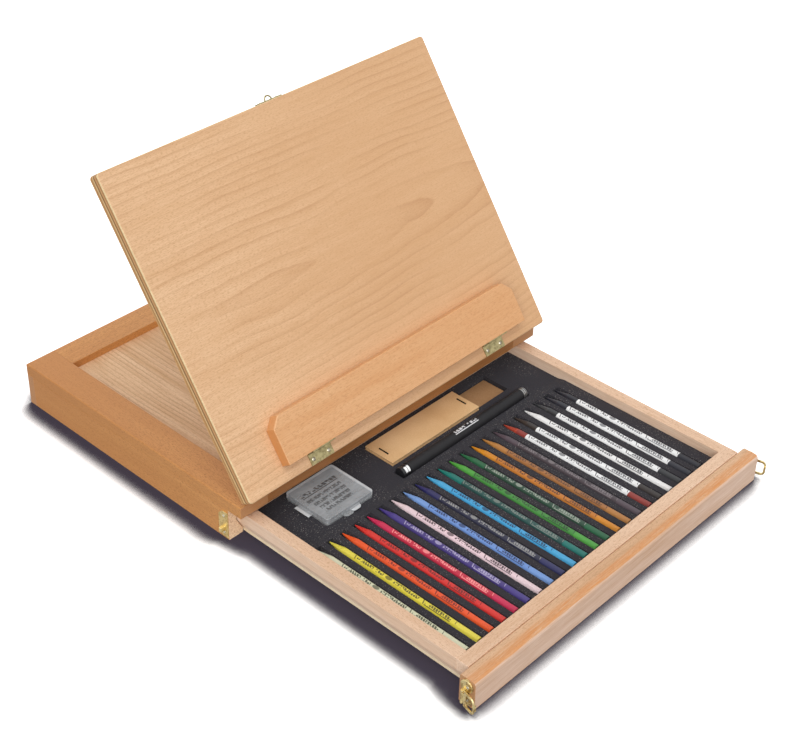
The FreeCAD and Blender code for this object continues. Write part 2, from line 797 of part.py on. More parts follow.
def eraser_pocket():
    pocket = eraser_box_outline(POCKET_PLAY, eraser_box_floor, CASE_HEIGHT)
    z = lid_underside - ERASER_LID_GAP - TAB_THICKNESS - POCKET_PLAY
    tab_room = block(
        eraser_box_middle - TAB_WIDTH, eraser_box_middle + TAB_WIDTH,
        eraser_box_front - TAB_REACH - POCKET_PLAY, eraser_box_front, z, CASE_HEIGHT,
    )
    hinge_room = block(
        eraser_box_left - HINGE_TAB_REACH - POCKET_PLAY, eraser_box_left,
        eraser_box_front + eraser_box_third - POCKET_PLAY,
        eraser_box_back - eraser_box_third + POCKET_PLAY, z, CASE_HEIGHT,
    )
    return joined([pocket, tab_room, hinge_room])


def card_outline(grow, z0, z1):
    """The pad's backing card: a plate under the sheets and a narrower round-ended handle."""
    plate = block(pad_left_x - grow, pad_right_x + grow, pad_front - grow, pad_back + grow, z0, z1)
    handle = block(
        pad_right_x - card_corner, card_right_x + grow, handle_front - grow, handle_back + grow,
        z0, z1,
    )
    tip = [
        edge for edge in edges_along(handle, Z_AXIS)
        if edge.BoundBox.XMin > card_right_x - card_corner / 2
    ]
    return joined([plate, handle.makeFillet(card_corner, tip)])


def sanding_pad_sheets():
    layers = []
    for index in range(PAD_LAYERS):
        step = PAD_LAYER_STEP * (index % 2)
        z0 = card_top + index * PAD_LAYER_THICKNESS
        layers.append(block(
            pad_left_x + step, pad_right_x - step, pad_front + step, pad_back - step,
            z0, z0 + PAD_LAYER_THICKNESS,
        ))
    return joined(layers)


def pad_staple(x):
    """Staple on top of the pad: a round-cornered wire bent down into the sheets."""
    half = staple_length / 2
    crown = block(
        x, x + STAPLE_WIRE, pad_middle - half, pad_middle + half, pad_top, pad_top + STAPLE_WIRE
    )
    legs = [
        block(x, x + STAPLE_WIRE, y, y + STAPLE_WIRE, pad_top - STAPLE_LEG, pad_top)
        for y in (pad_middle - half, pad_middle + half - STAPLE_WIRE)
    ]
    return joined([crown] + legs)


def staple_positions():
    return [pad_left_x + STAPLE_END_MARGIN, pad_right_x - STAPLE_END_MARGIN - STAPLE_WIRE]


def holder_tube():
    """Barrel of the pencil holder between its collar and its cap."""
    return rod_along_x(
        HOLDER_RADIUS, holder_left_x + HOLDER_COLLAR_LENGTH, holder_right_x - HOLDER_CAP_LENGTH,
        holder_y, holder_z,
    )


def holder_collar():
    radius = HOLDER_RADIUS - HOLDER_CAP_STEP
    waist = radius - HOLDER_CAP_STEP
    third = HOLDER_COLLAR_LENGTH / 3
    profile = [
        (0, 0), (radius, 0), (radius, third), (waist, third), (waist, 2 * third),
        (radius, 2 * third), (radius, HOLDER_COLLAR_LENGTH), (0, HOLDER_COLLAR_LENGTH),
    ]
    return spun(profile, Vector(holder_left_x, holder_y, holder_z), X_AXIS)


def holder_cap():
    radius = HOLDER_RADIUS - HOLDER_CAP_STEP
    profile = [
        (0, 0), (radius, 0), (radius, HOLDER_CAP_LENGTH - 2 * EDGE_EASE),
        (radius - 2 * EDGE_EASE, HOLDER_CAP_LENGTH), (0, HOLDER_CAP_LENGTH),
    ]
    start = Vector(holder_right_x - HOLDER_CAP_LENGTH, holder_y, holder_z)
    return spun(profile, start, X_AXIS)


def holder_trough():
    return rod_along_x(
        HOLDER_RADIUS + TROUGH_PLAY, holder_left_x - TROUGH_END_PLAY,
        holder_right_x + TROUGH_END_PLAY, holder_y, holder_z,
    )


def foam_insert():
    foam = block(
        -foam_half_width, foam_half_width, foam_front, foam_back, drawer_floor_top, foam_top
    )
    pockets = [pencil_slot(pencil_x(index)) for index in range(pencil_count)]
    pockets.append(eraser_pocket())
    pockets.append(card_outline(POCKET_PLAY, card_floor, CASE_HEIGHT))
    pockets.append(holder_trough())
    return less(foam, pockets)


# ---- Latches, in the closed position and on the right ----------------------------------

def latch_petal(z):
    """Round plate with a many-sided rim, bevelled round its outer face."""
    petal = faceted([
        polygon_points(radius, height, LATCH_PLATE_FLATS)
        for radius, height in (
            (LATCH_PETAL_RADIUS, 0), (LATCH_PETAL_RADIUS, LATCH_PLATE_THICKNESS),
            (LATCH_PETAL_RADIUS - LATCH_PETAL_DOME, LATCH_PLATE_THICKNESS + LATCH_PETAL_DOME),
        )
    ])
    return moved(turned(petal, CENTRE, Z_AXIS, -90), half_width, latch_plate_y, z)


def latch_tip(z):
    """Small round tip beyond a petal."""
    tip = faceted([
        polygon_points(LATCH_TIP_RADIUS, height, LATCH_TIP_FLATS)
        for height in (0, LATCH_PLATE_THICKNESS)
    ])
    return moved(turned(tip, CENTRE, Z_AXIS, -90), half_width, latch_plate_y, z)


def latch_plate():
    """Two round petals and a small tip at each end, with two lugs that hold the loop's pin."""
    half_petals = LATCH_PETAL_SPACING / 2
    pieces = []
    for side in (-1, 1):
        pieces.append(latch_petal(latch_plate_z + side * half_petals))
        tip_z = latch_plate_z + side * (half_petals + LATCH_TIP_OFFSET - LATCH_TIP_RADIUS / 2)
        pieces.append(latch_tip(tip_z))
    lug_offset = BARREL_LENGTH / 2 + BARREL_GAP
    for z0 in (LATCH_HEIGHT - lug_offset - LUG_LENGTH, LATCH_HEIGHT + lug_offset):
        pieces.append(Part.makeCylinder(
            BARREL_RADIUS, LUG_LENGTH, Vector(latch_pivot_x, latch_pivot_y, z0), Z_AXIS
        ))
        pieces.append(block(
            half_width, latch_pivot_x, latch_pivot_y - BARREL_RADIUS,
            latch_pivot_y + BARREL_RADIUS, z0, z0 + LUG_LENGTH,
        ))
    pieces.append(Part.makeCylinder(
        LATCH_PIN_RADIUS, 2 * lug_offset,
        Vector(latch_pivot_x, latch_pivot_y, LATCH_HEIGHT - lug_offset), Z_AXIS,
    ))
    return joined(pieces)


def latch_loop():
    """Flat ring on a barrel, closed over the keeper's peg, with a bent-out finger lip."""
    half_height = LOOP_HEIGHT / 2
    x0 = latch_pivot_x - LOOP_THICKNESS / 2
    x1 = latch_pivot_x + LOOP_THICKNESS / 2
    y0 = latch_pivot_y + LOOP_ARM_START
    y1 = latch_pivot_y + LOOP_REACH
    z0 = LATCH_HEIGHT - half_height
    z1 = LATCH_HEIGHT + half_height
    ring = block(x0, x1, y0, y1, z0, z1)
    far_corners = [
        edge for edge in edges_along(ring, X_AXIS) if edge.BoundBox.YMin > y1 - 1
    ]
    ring = ring.makeFillet(LOOP_CORNER, far_corners)
    hole_half = half_height - LOOP_BORDER
    hole = block(
        x0, x1, y0 + LOOP_END_BORDER, latch_pivot_y + latch_hole_end, LATCH_HEIGHT - hole_half,
        LATCH_HEIGHT + hole_half,
    )
    hole = hole.makeFillet(LOOP_CORNER - LOOP_BORDER, edges_along(hole, X_AXIS))
    neck = block(
        x0, x1, latch_pivot_y, y0 + 1, LATCH_HEIGHT - BARREL_LENGTH / 2,
        LATCH_HEIGHT + BARREL_LENGTH / 2,
    )
    barrel = Part.makeCylinder(
        BARREL_RADIUS, BARREL_LENGTH,
        Vector(latch_pivot_x, latch_pivot_y, LATCH_HEIGHT - BARREL_LENGTH / 2), Z_AXIS,
    )
    lip_half = half_height - LOOP_CORNER
    lip_outline = [
        (x0, y1 - LOOP_END_BORDER), (x1, y1 - LOOP_END_BORDER),
        (x1 + LOOP_LIP, y1 - LOOP_END_BORDER + LOOP_LIP), (x1 + LOOP_LIP, y1), (x0, y1),
    ]
    lip = prism_along_z(lip_outline, LATCH_HEIGHT - lip_half, LATCH_HEIGHT + lip_half)
    bore = Part.makeCylinder(
        LATCH_PIN_RADIUS + RUNNING_FIT, LOOP_HEIGHT,
        Vector(latch_pivot_x, latch_pivot_y, z0), Z_AXIS,
    )
    return joined([ring.cut(hole), neck, barrel, lip]).cut(bore)


# ---- The pieces where they lie: board raised, drawer out, latches swung open -----------

def raised(shape):
    return turned(shape, Vector(0, hinge_y, hinge_z), X_AXIS, BOARD_ANGLE)


def propped(shape):
    """The prop turned back on its pin by twice the board's angle, then raised with it."""
    folded_out = turned(shape, Vector(0, prop_y, prop_z), X_AXIS, -2 * BOARD_ANGLE)
    return raised(folded_out)


def drawn_out(shape):
    return moved(shape, 0, -drawer_travel, 0)


def unlatched(shape):
    """The right-hand loop swung outwards about its pin."""
    pivot = Vector(latch_pivot_x, latch_pivot_y, LATCH_HEIGHT)
    return turned(shape, pivot, Z_AXIS, -LATCH_OPEN_ANGLE)


def pair(shape):
    """A right-hand piece and its left-hand twin."""
    return [shape, mirrored(shape)]


def case_nodes():
    side = case_side()
    plate = keeper()
    stile = top_stile()
    leaf = board_hinge_leaf(0, HINGE_PIN_RADIUS)
    pin = rod_along_x(HINGE_PIN_RADIUS, -HINGE_LENGTH / 2, HINGE_LENGTH / 2, 0, 0)
    return {
        "case_side_right": side,
        "case_side_left": mirrored(side),
        "case_back": case_back(),
        "top_stile_right": stile,
        "top_stile_left": mirrored(stile),
        "top_rail_front": top_rail(front, recess_front),
        "top_rail_back": top_rail(back, recess_back),
        "top_panel": top_panel(),
        "keeper_right": plate,
        "keeper_left": mirrored(plate),
        "board_hinge_bases": at_board_hinges(leaf),
        "board_hinge_pins": at_board_hinges(pin),
    }


def board_nodes():
    leaf = flipped(board_hinge_leaf(1, HINGE_PIN_RADIUS + RUNNING_FIT))
    ledge_leaf = onto_board(ledge_hinge_leaf(0, LEDGE_PIN_RADIUS, LEDGE_HINGE_REACH))
    ledge_pin = rod_along_x(
        LEDGE_PIN_RADIUS, -LEDGE_HINGE_LENGTH / 2, LEDGE_HINGE_LENGTH / 2, 0, 0
    )
    closed = {
        "easel_board": easel_board(),
        "board_hinge_leaves": at_board_hinges(leaf),
        "ledge_hinge_bases": at_ledge_hinges(ledge_leaf),
        "ledge_hinge_pins": at_ledge_hinges(ledge_pin),
        "prop_bracket": Part.makeCompound(pair(prop_ear())),
        "prop_pin": prop_pin(),
        "eye_plate": eye_plate(),
    }
    return {name: raised(shape) for name, shape in closed.items()}


def ledge_nodes():
    reach = LEDGE_THICKNESS + LEDGE_GAP - LEDGE_STANDOFF - LEDGE_LEAF_INSET
    leaf = onto_ledge(ledge_hinge_leaf(1, LEDGE_PIN_RADIUS + RUNNING_FIT, reach))
    return {"ledge": raised(ledge()), "ledge_hinge_leaves": raised(at_ledge_hinges(leaf))}


def drawer_nodes():
    side = drawer_side()
    plate = latch_plate()
    staples = [pad_staple(x) for x in staple_positions()]
    closed = {
        "drawer_front_bar": drawer_front_bar(),
        "drawer_front_rail": drawer_cross_piece(rail_front, rail_back),
        "drawer_side_right": side,
        "drawer_side_left": mirrored(side),
        "drawer_back": drawer_cross_piece(drawer_back_inner, drawer_back),
        "drawer_bottom": drawer_bottom(),
        "foam_insert": foam_insert(),
        "latch_plate_right": plate,
        "latch_plate_left": mirrored(plate),
        "eraser_box_base": eraser_box_base(),
        "eraser_box_lid": eraser_box_lid(),
        "kneaded_eraser": kneaded_eraser(),
        "sanding_pad_card": card_outline(0, card_floor, card_top),
        "sanding_pad_sheets": less(sanding_pad_sheets(), staples),
        "pad_staples": Part.makeCompound(staples),
        "pencil_holder_tube": holder_tube(),
        "pencil_holder_ends": Part.makeCompound([holder_collar(), holder_cap()]),
    }
    for index, colours in enumerate(PENCIL_PAIRS):
        pencils = [pencil(pencil_x(2 * index)), pencil(pencil_x(2 * index + 1))]
        closed["pencils_" + colours] = Part.makeCompound(pencils)
    return {name: drawn_out(shape) for name, shape in closed.items()}


def latch_nodes():
    loop = drawn_out(unlatched(latch_loop()))
    return {"latch_loop_right": loop, "latch_loop_left": mirrored(loop)}


nodes = {}
nodes.update(case_nodes())
nodes.update(board_nodes())
nodes.update(ledge_nodes())
nodes["prop_frame"] = propped(prop_frame())
nodes.update(drawer_nodes())
nodes.update(latch_nodes())

os.makedirs("parts", exist_ok=True)
for name, shape in nodes.items():
    shape.exportStep(os.path.join("parts", name + ".step"))
    print(name, len(shape.Solids), round(shape.Volume / 1000, 2), "cm3", shape.isValid())
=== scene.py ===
import json
import math

import bmesh
import bpy
from mathutils import Matrix, Vector


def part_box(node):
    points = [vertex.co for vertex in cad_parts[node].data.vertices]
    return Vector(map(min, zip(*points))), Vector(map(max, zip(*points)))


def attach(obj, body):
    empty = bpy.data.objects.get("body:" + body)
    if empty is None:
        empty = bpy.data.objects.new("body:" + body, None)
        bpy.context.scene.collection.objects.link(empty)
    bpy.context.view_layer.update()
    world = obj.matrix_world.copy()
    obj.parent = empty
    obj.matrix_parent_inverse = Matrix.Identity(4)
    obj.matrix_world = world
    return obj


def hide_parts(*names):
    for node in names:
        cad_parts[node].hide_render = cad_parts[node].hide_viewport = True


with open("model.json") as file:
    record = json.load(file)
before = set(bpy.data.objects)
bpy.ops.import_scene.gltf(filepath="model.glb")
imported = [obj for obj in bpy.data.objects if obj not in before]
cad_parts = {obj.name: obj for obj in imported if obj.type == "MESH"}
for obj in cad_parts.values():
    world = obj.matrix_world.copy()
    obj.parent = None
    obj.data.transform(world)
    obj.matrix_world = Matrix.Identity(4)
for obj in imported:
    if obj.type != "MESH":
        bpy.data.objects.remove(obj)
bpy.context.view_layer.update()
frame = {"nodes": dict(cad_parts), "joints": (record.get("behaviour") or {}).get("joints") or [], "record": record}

NODES = frame["nodes"]
MM = 0.001

# The camera of the photograph: place in metres, turn from +Y towards +X, dip below level
CAMERA_PLACE = (-0.9139, -1.1402, 0.9773)
CAMERA_AZIMUTH = 47.75
CAMERA_DIP = 35.39
CAMERA_ROLL = 1.50
CAMERA_LENS = 72.32
SENSOR_WIDTH = 36.0

BOARD_TILT = next(joint for joint in frame["joints"] if joint["name"] == "board_tilt")
BOARD_TURN = -math.radians(BOARD_TILT["range_deg"][0])
HINGE_AXIS = Vector(BOARD_TILT["pos_m"])


def colour(red, green, blue):
    """An sRGB colour, 0 to 255, as the linear RGBA that a socket takes."""
    linear = []
    for value in (red, green, blue):
        part = value / 255
        linear.append(part / 12.92 if part <= 0.04045 else ((part + 0.055) / 1.055) ** 2.4)
    return (*linear, 1.0)


def shaded(rgb, darkening):
    return colour(*[part * darkening for part in rgb])


def on_board(point):
    """A point at rest in the board's own frame: X, up along the board, out of its face."""
    return Matrix.Rotation(-BOARD_TURN, 3, "X") @ (Vector(point) - HINGE_AXIS)


def off_board(direction):
    """A direction in the board's own frame, as it lies at rest."""
    return Matrix.Rotation(BOARD_TURN, 3, "X") @ Vector(direction)


# ---- Shader graphs --------------------------

# Added to a coordinate's number, so that a seed shifts no two coordinates alike
SEED_SHIFT = 1.3
# Print too small to read: how soft its edges are, the share of its cells that stay blank, the
# part of a letter's pitch that its strokes fill, and how far it leans for each unit of height
PRINT_EDGE = 0.08 * MM
BLANK_SHARE = 0.30
LETTER_FILL = 0.78
LETTER_SLANT = 0.35


class Tree:
    """A node tree under construction: each call adds a node and gives its output."""

    def __init__(self, owner):
        owner.use_nodes = True
        self.nodes = owner.node_tree.nodes
        self.links = owner.node_tree.links

    def feed(self, socket, value):
        if isinstance(value, bpy.types.NodeSocket):
            self.links.new(value, socket)
        else:
            socket.default_value = value

    def add(self, kind, inputs, output=0, **settings):
        node = self.nodes.new("ShaderNode" + kind)
        for key, value in settings.items():
            setattr(node, key, value)
        for key, value in inputs.items():
            self.feed(node.inputs[key], value)
        return node.outputs[output]

    def math(self, operation, a, b=0.0, c=0.0, clamp=False):
        return self.add("Math", {0: a, 1: b, 2: c}, operation=operation, use_clamp=clamp)


class Graph(Tree):
    """The node tree of a new material."""

    def __init__(self, name):
        self.material = bpy.data.materials.new(name)
        super().__init__(self.material)
        self.shader = self.nodes["Principled BSDF"]
        place = self.nodes.new("ShaderNodeTexCoord")
        self.object = place.outputs["Object"]
        self.normal = place.outputs["Normal"]

    def set(self, **values):
        """Feeds the shader's sockets; underscores in the names stand for spaces."""
        for key, value in values.items():
            self.feed(self.shader.inputs[key.replace("_", " ")], value)

    def mix(self, factor, a, b):
        return self.add("Mix", {0: factor, 6: a, 7: b}, output=2, data_type="RGBA")

    def tinted(self, base, mask, strength, tint):
        """The base with the tint over it where the mask is 1."""
        return self.mix(self.math("MULTIPLY", mask, strength), base, tint)

    def swing(self, value, size, middle=0.0):
        """A value of 0 to 1 as a swing of the size about the middle."""
        return self.math("MULTIPLY_ADD", value, size, middle - size / 2)

    def share(self, value, low, high):
        """How far the value is on the way from low to high, as 0 to 1."""
        return self.math("DIVIDE", self.math("SUBTRACT", value, low), high - low)

    def split(self, vector):
        return self.add("SeparateXYZ", {0: vector}).node.outputs[:3]

    def join(self, x, y, z):
        return self.add("CombineXYZ", {0: x, 1: y, 2: z})

    def turned(self, vector, angle):
        """The vector in a frame that is turned about X by the angle."""
        return self.add("Mapping", {0: vector, 2: (-angle, 0, 0)})

    def noise(self, vector, detail, roughness, scale=1.0):
        return self.add(
            "TexNoise",
            {"Vector": vector, "Scale": scale, "Detail": detail, "Roughness": roughness},
        )

    def grained(self, parts, grain, seed=0.0):
        """Noise with a scale for each coordinate; the seed shifts it. The grain is the three
        scales per metre, the detail and the roughness."""
        scales, detail, roughness = grain
        scaled = [
            self.math("MULTIPLY_ADD", part, scale, seed * (index + SEED_SHIFT))
            for index, (part, scale) in enumerate(zip(parts, scales))
        ]
        return self.noise(self.join(*scaled), detail, roughness)

    def steps(self, value, low, high):
        """0 at low, 1 at high, smooth between; low may lie above high."""
        return self.add("MapRange", {0: value, 1: low, 2: high}, interpolation_type="SMOOTHSTEP")

    def between(self, value, low, high, edge=PRINT_EDGE):
        """1 where the value lies between low and high."""
        rise = self.steps(value, low - edge, low + edge)
        fall = self.steps(value, high - edge, high + edge)
        return self.math("SUBTRACT", rise, fall, clamp=True)

    def patch(self, u, v, left, right, low, high, edge=PRINT_EDGE, edge_v=None):
        """1 inside a rectangle of the two coordinates."""
        return self.both(
            self.between(u, left, right, edge), self.between(v, low, high, edge_v or edge)
        )

    def both(self, *masks):
        whole = masks[0]
        for mask in masks[1:]:
            whole = self.math("MULTIPLY", whole, mask)
        return whole

    def either(self, *masks):
        whole = masks[0]
        for mask in masks[1:]:
            whole = self.math("MAXIMUM", whole, mask)
        return whole

    def bump(self, height, distance, strength):
        self.set(Normal=self.add(
            "Bump", {"Height": height, "Distance": distance, "Strength": strength}
        ))


def print_marks(g, u, v, letter, height):
    """Mask of small leaning strokes, like print that is too small to read."""
    leaning = g.math("MULTIPLY_ADD", v, LETTER_SLANT, u)
    column = g.math("FLOOR", g.math("DIVIDE", leaning, letter / 2))
    row = g.math("FLOOR", g.math("DIVIDE", v, height / 2))
    chance = g.add("TexWhiteNoise", {"Vector": g.join(column, row, 0.0)})
    strokes = g.math("GREATER_THAN", chance, BLANK_SHARE)
    pitch = g.math("FRACT", g.math("DIVIDE", leaning, letter))
    return g.both(strokes, g.math("LESS_THAN", pitch, LETTER_FILL))


# ---- Wood -----------------------------------

# The wood's noises: scales along the grain, across it and through the face, detail, roughness
STREAK = (5.0, 95.0, 95.0), 5.0, 0.6
FIBRE = (45.0, 1300.0, 1300.0), 3.0, 0.65
TONE = (2.2, 11.0, 11.0), 3.0, 0.5
FLECK = (330.0, 1300.0, 1300.0), 1.0, 0.5
PORE = (300.0, 900.0, 900.0), 3.0, 0.7
SWAY = (5.0, 8.0, 8.0), 2.0, 0.4
RIPPLE = (22.0, 60.0, 60.0), 2.0, 0.5
RING_PATCH = (9.0, 26.0, 26.0), 2.0, 0.5
PLY_RIPPLE = (60.0, 60.0, 500.0), 2.0, 0.5
GRIT = (700.0, 700.0, 700.0), 3.0, 0.7

# How much each noise moves the wood from its light to its dark colour
STREAK_SIZE = 1.5
TONE_SIZE = 1.2
FIBRE_SIZE = 1.1

# A range is the pair of noise values between which a feature comes in
FLECK_RANGE = (0.52, 0.68)
FLECK_BROWN = colour(132, 82, 44)
FLECK_BROWN_SHARE = 0.22
STAIN_RANGE = (0.2, 0.7)
PORE_RANGE = (0.35, 0.7)
PORE_SHARE = 0.6
# How far the grain moves the border of a fade and of a stain, in metres
FADE_DRIFT = 0.06
STAIN_DRIFT = 0.014
# Strength of a stain, and of the colour of a face beside the grain
COVER = 0.85
# The normal's part at which a face starts to look like a side, and at which it fully does
SIDE_TURN = (0.6, 0.8)
LACQUER_SWING = 0.16
WOOD_RELIEF = 0.06 * MM
FLECK_RELIEF = 0.8
# Growth rings: how they close up, how uneven they are, and each line's sharp rise and its end
RING_POWER = 1.25
RING_RIPPLE = 0.5
RING_SHARPNESS = 4.0
RING_BREAK = 0.93
RING_RANGE = (0.25, 0.65)
# Plywood's edge, as shares of its thickness
PLY_WAVE = 0.03
PLY_BLEND = 0.012
GRIT_RANGE = (0.4, 0.75)
GRIT_BROWN = colour(120, 74, 38)
GRIT_SHARE = 0.3


def grain_parts(g, vector, grain, turn):
    """A vector's parts along the grain, across it, and through the face."""
    x, y, z = g.split(g.turned(vector, turn) if turn else vector)
    return {"X": (x, y, z), "Y": (y, x, z)}[grain]


def wood(name, light, dark, grain, seed, turn=0.0, contrast=1.0, rings=None, end=None,
         fleck=0.35, side=None, plies=None, rough=0.46, fade=None, stain=None):
    """Beech: streaks along the grain, short dark flecks, growth rings and a satin lacquer.
    The fade darkens it between two places along it, and the stain tints it between two
    places across. End and side are the colours of the faces across the grain and beside it,
    and plies the veneers that the edge of plywood shows."""
    g = Graph(name)
    parts = grain_parts(g, g.object, grain, turn)
    along, across = parts[:2]
    normal_along, normal_across, normal_depth = grain_parts(g, g.normal, grain, turn)
    streak = g.grained(parts, STREAK, seed)
    fibre = g.grained(parts, FIBRE, seed)
    tone = g.grained(parts, TONE, seed + 3)
    flecks = g.steps(g.grained(parts, FLECK, seed), *FLECK_RANGE)
    share = g.swing(streak, STREAK_SIZE * contrast, 0.5)
    share = g.math("ADD", share, g.swing(tone, TONE_SIZE * contrast))
    share = g.math("ADD", share, g.swing(fibre, FIBRE_SIZE), clamp=True)
    base = g.mix(share, light, dark)
    base = g.tinted(base, flecks, fleck, g.mix(FLECK_BROWN_SHARE, dark, FLECK_BROWN))
    if fade:
        strength, start, finish = fade
        place = g.math("ADD", along, g.math("MULTIPLY", tone, FADE_DRIFT))
        base = g.tinted(base, g.steps(place, start, finish), strength, dark)
    if stain:
        start, finish, tint = stain
        place = g.math("ADD", across, g.swing(streak, STAIN_DRIFT))
        dyed = g.both(g.steps(place, finish, start), g.steps(fibre, *STAIN_RANGE))
        base = g.tinted(base, dyed, COVER, tint)
    if rings:
        base = growth_rings(g, base, parts, seed, **rings)
    # The side colour: painted shade on the case's front rail, painted light on the drawer's sides
    if side:
        on_side = g.steps(g.math("ABSOLUTE", normal_across), *SIDE_TURN)
        base = g.tinted(base, on_side, COVER, g.mix(share, side, dark))
    if end:
        pores = g.steps(g.grained(parts, PORE, seed), *PORE_RANGE)
        on_end = g.steps(g.math("ABSOLUTE", normal_along), *SIDE_TURN)
        base = g.mix(on_end, base, g.tinted(end, pores, PORE_SHARE, dark))
    if plies:
        on_edge = g.steps(g.math("ABSOLUTE", normal_depth), *reversed(SIDE_TURN))
        base = g.mix(on_edge, base, ply_layers(g, parts, *plies))
    g.set(Base_Color=base, Roughness=g.swing(streak, LACQUER_SWING, rough))
    g.set(Specular_IOR_Level=0.42)
    relief = g.math("SUBTRACT", fibre, g.math("MULTIPLY", flecks, FLECK_RELIEF))
    g.bump(relief, WOOD_RELIEF, 0.5)
    return g.material


def growth_rings(g, base, parts, seed, centre, slope, pitch, bend, tint, share):
    """Nested lines drawn out along the grain, closer together away from their centre."""
    along, across = parts[:2]
    from_end = g.math("MULTIPLY", g.math("SUBTRACT", along, centre[0]), slope)
    from_line = g.math("SUBTRACT", across, centre[1])
    squares = g.math("ADD", g.math("POWER", from_end, 2.0), g.math("POWER", from_line, 2.0))
    radius = g.math("DIVIDE", g.math("SQRT", squares), pitch)
    sway = g.grained(parts, SWAY, seed)
    ripple = g.grained(parts, RIPPLE, seed)
    turns = g.math("ADD", g.math("POWER", radius, RING_POWER), g.math("MULTIPLY", sway, bend))
    turns = g.math("ADD", turns, g.math("MULTIPLY", ripple, RING_RIPPLE))
    saw = g.math("FRACT", turns)
    line = g.both(g.math("POWER", saw, RING_SHARPNESS), g.steps(saw, 1.0, RING_BREAK))
    patches = g.steps(g.grained(parts, RING_PATCH, seed + 5), *RING_RANGE)
    return g.tinted(base, g.both(line, patches), share, tint)


def ply_layers(g, parts, low, high, tones):
    """The edge of plywood: layers of veneer through the thickness, light and dark by turns."""
    wave = g.swing(g.grained(parts, PLY_RIPPLE), PLY_WAVE)
    share = g.math("ADD", g.share(parts[2], low, high), wave)
    layer = tones[0]
    for index, tone in enumerate(tones[1:], 1):
        start = index / len(tones)
        layer = g.mix(g.steps(share, start - PLY_BLEND, start + PLY_BLEND), layer, tone)
    grit = g.steps(g.grained(parts, GRIT), *GRIT_RANGE)
    return g.tinted(layer, grit, GRIT_SHARE, GRIT_BROWN)


# ---- Other materials ------------------------

# A roughness is how much a noise adds to it, and its least value
METAL_PATCH_RANGE = (0.42, 0.66)
METAL_PATCH_SHIFT = 0.01
SCRATCH = (2500.0, 900.0, 300.0), 2.0, 0.5
SCRATCH_RELIEF = 0.03 * MM
METAL_ROUGHENING = 0.16


def metal(name, tint, dull, seed, rough=0.3, wear=0.5):
    """Plated metal, duller in patches, with fine scratches."""
    g = Graph(name)
    patch = g.noise(g.object, detail=4.0, roughness=0.65, scale=260.0)
    patch = g.steps(g.math("ADD", patch, seed * METAL_PATCH_SHIFT), *METAL_PATCH_RANGE)
    scratch = g.grained(g.split(g.object), SCRATCH, seed)
    g.set(Base_Color=g.tinted(tint, patch, wear, dull), Metallic=1.0)
    g.set(Roughness=g.math("MULTIPLY_ADD", g.math("ADD", patch, scratch), METAL_ROUGHENING, rough))
    g.bump(scratch, SCRATCH_RELIEF, 0.6)
    return g.material


FOAM_TONES = (colour(37, 36, 41), colour(59, 57, 63))
FOAM_RELIEF = 0.25 * MM
DUST = colour(150, 146, 142)
DUST_STRENGTH = 0.65
DUST_SPECKS = (0.60, 0.69)
DUST_CLOUDS = (0.34, 0.54)


def foam_material():
    """Black closed-cell foam with a fine open grain and pale specks."""
    g = Graph("black_foam")
    cells = g.add("TexVoronoi", {"Vector": g.object, "Scale": 900.0})
    grain = g.noise(g.object, detail=3.0, roughness=0.7, scale=1400.0)
    speck = g.noise(g.object, detail=2.0, roughness=0.6, scale=820.0)
    cloud = g.noise(g.object, detail=3.0, roughness=0.5, scale=22.0)
    dust = g.both(g.steps(speck, *DUST_SPECKS), g.steps(cloud, *DUST_CLOUDS))
    g.set(Base_Color=g.tinted(g.mix(grain, *FOAM_TONES), dust, DUST_STRENGTH, DUST))
    g.set(Roughness=0.93, Specular_IOR_Level=0.2, Sheen_Weight=0.08)
    g.bump(g.math("ADD", cells, grain), FOAM_RELIEF, 0.6)
    return g.material


# Print on the eraser box's lid, and the clear field inside its painted edge highlight, as
# shares of its width from the left: start, end, and of its depth from the front: low, high
LID_FIELD = (0.045, 0.955, 0.05, 0.95)
LID_HEADING = (0.15, 0.84, 0.705, 0.775)
LID_RULE = (0.16, 0.83, 0.672, 0.692)
LID_ROWS = [(0.16, 0.80, 0.555), (0.20, 0.80, 0.445), (0.22, 0.78, 0.335), (0.22, 0.745, 0.235)]
LID_ROW_HEIGHT = 0.068
LID_ROW_LETTER = 0.03
LID_HEADING_LETTER = 0.07
LID_FIELD_EDGE = 0.012
LID_PRINT_EDGE = 0.002
# A near-white band round the lid outside the field, denser than the plastic: a painted highlight along the lid's
# edges
LID_EDGE_HIGHLIGHT_WHITE = colour(238, 241, 244)
LID_EDGE_HIGHLIGHT_STRENGTH = 0.75
LID_EDGE_HIGHLIGHT_DENSITY = 0.25
LID_INK = colour(44, 46, 50)
LID_INK_STRENGTH = 0.85
LID_INK_DENSITY = 0.75
# The print lies on the lid's top face: its reach below the top, in metres
LID_INK_DEPTH = (-0.4 * MM, -0.2 * MM)

SWIRL = (60.0, 140.0, 60.0), 3.0, 0.5
FROST = (900.0, 900.0, 900.0), 3.0, 0.7
SWIRL_DARKENING = 0.86
SWIRL_DENSITY = 0.30
FROST_SHARE = 0.05
SWIRL_RELIEF = 0.2 * MM
SWIRL_ROUGHNESS = (0.12, 0.10)


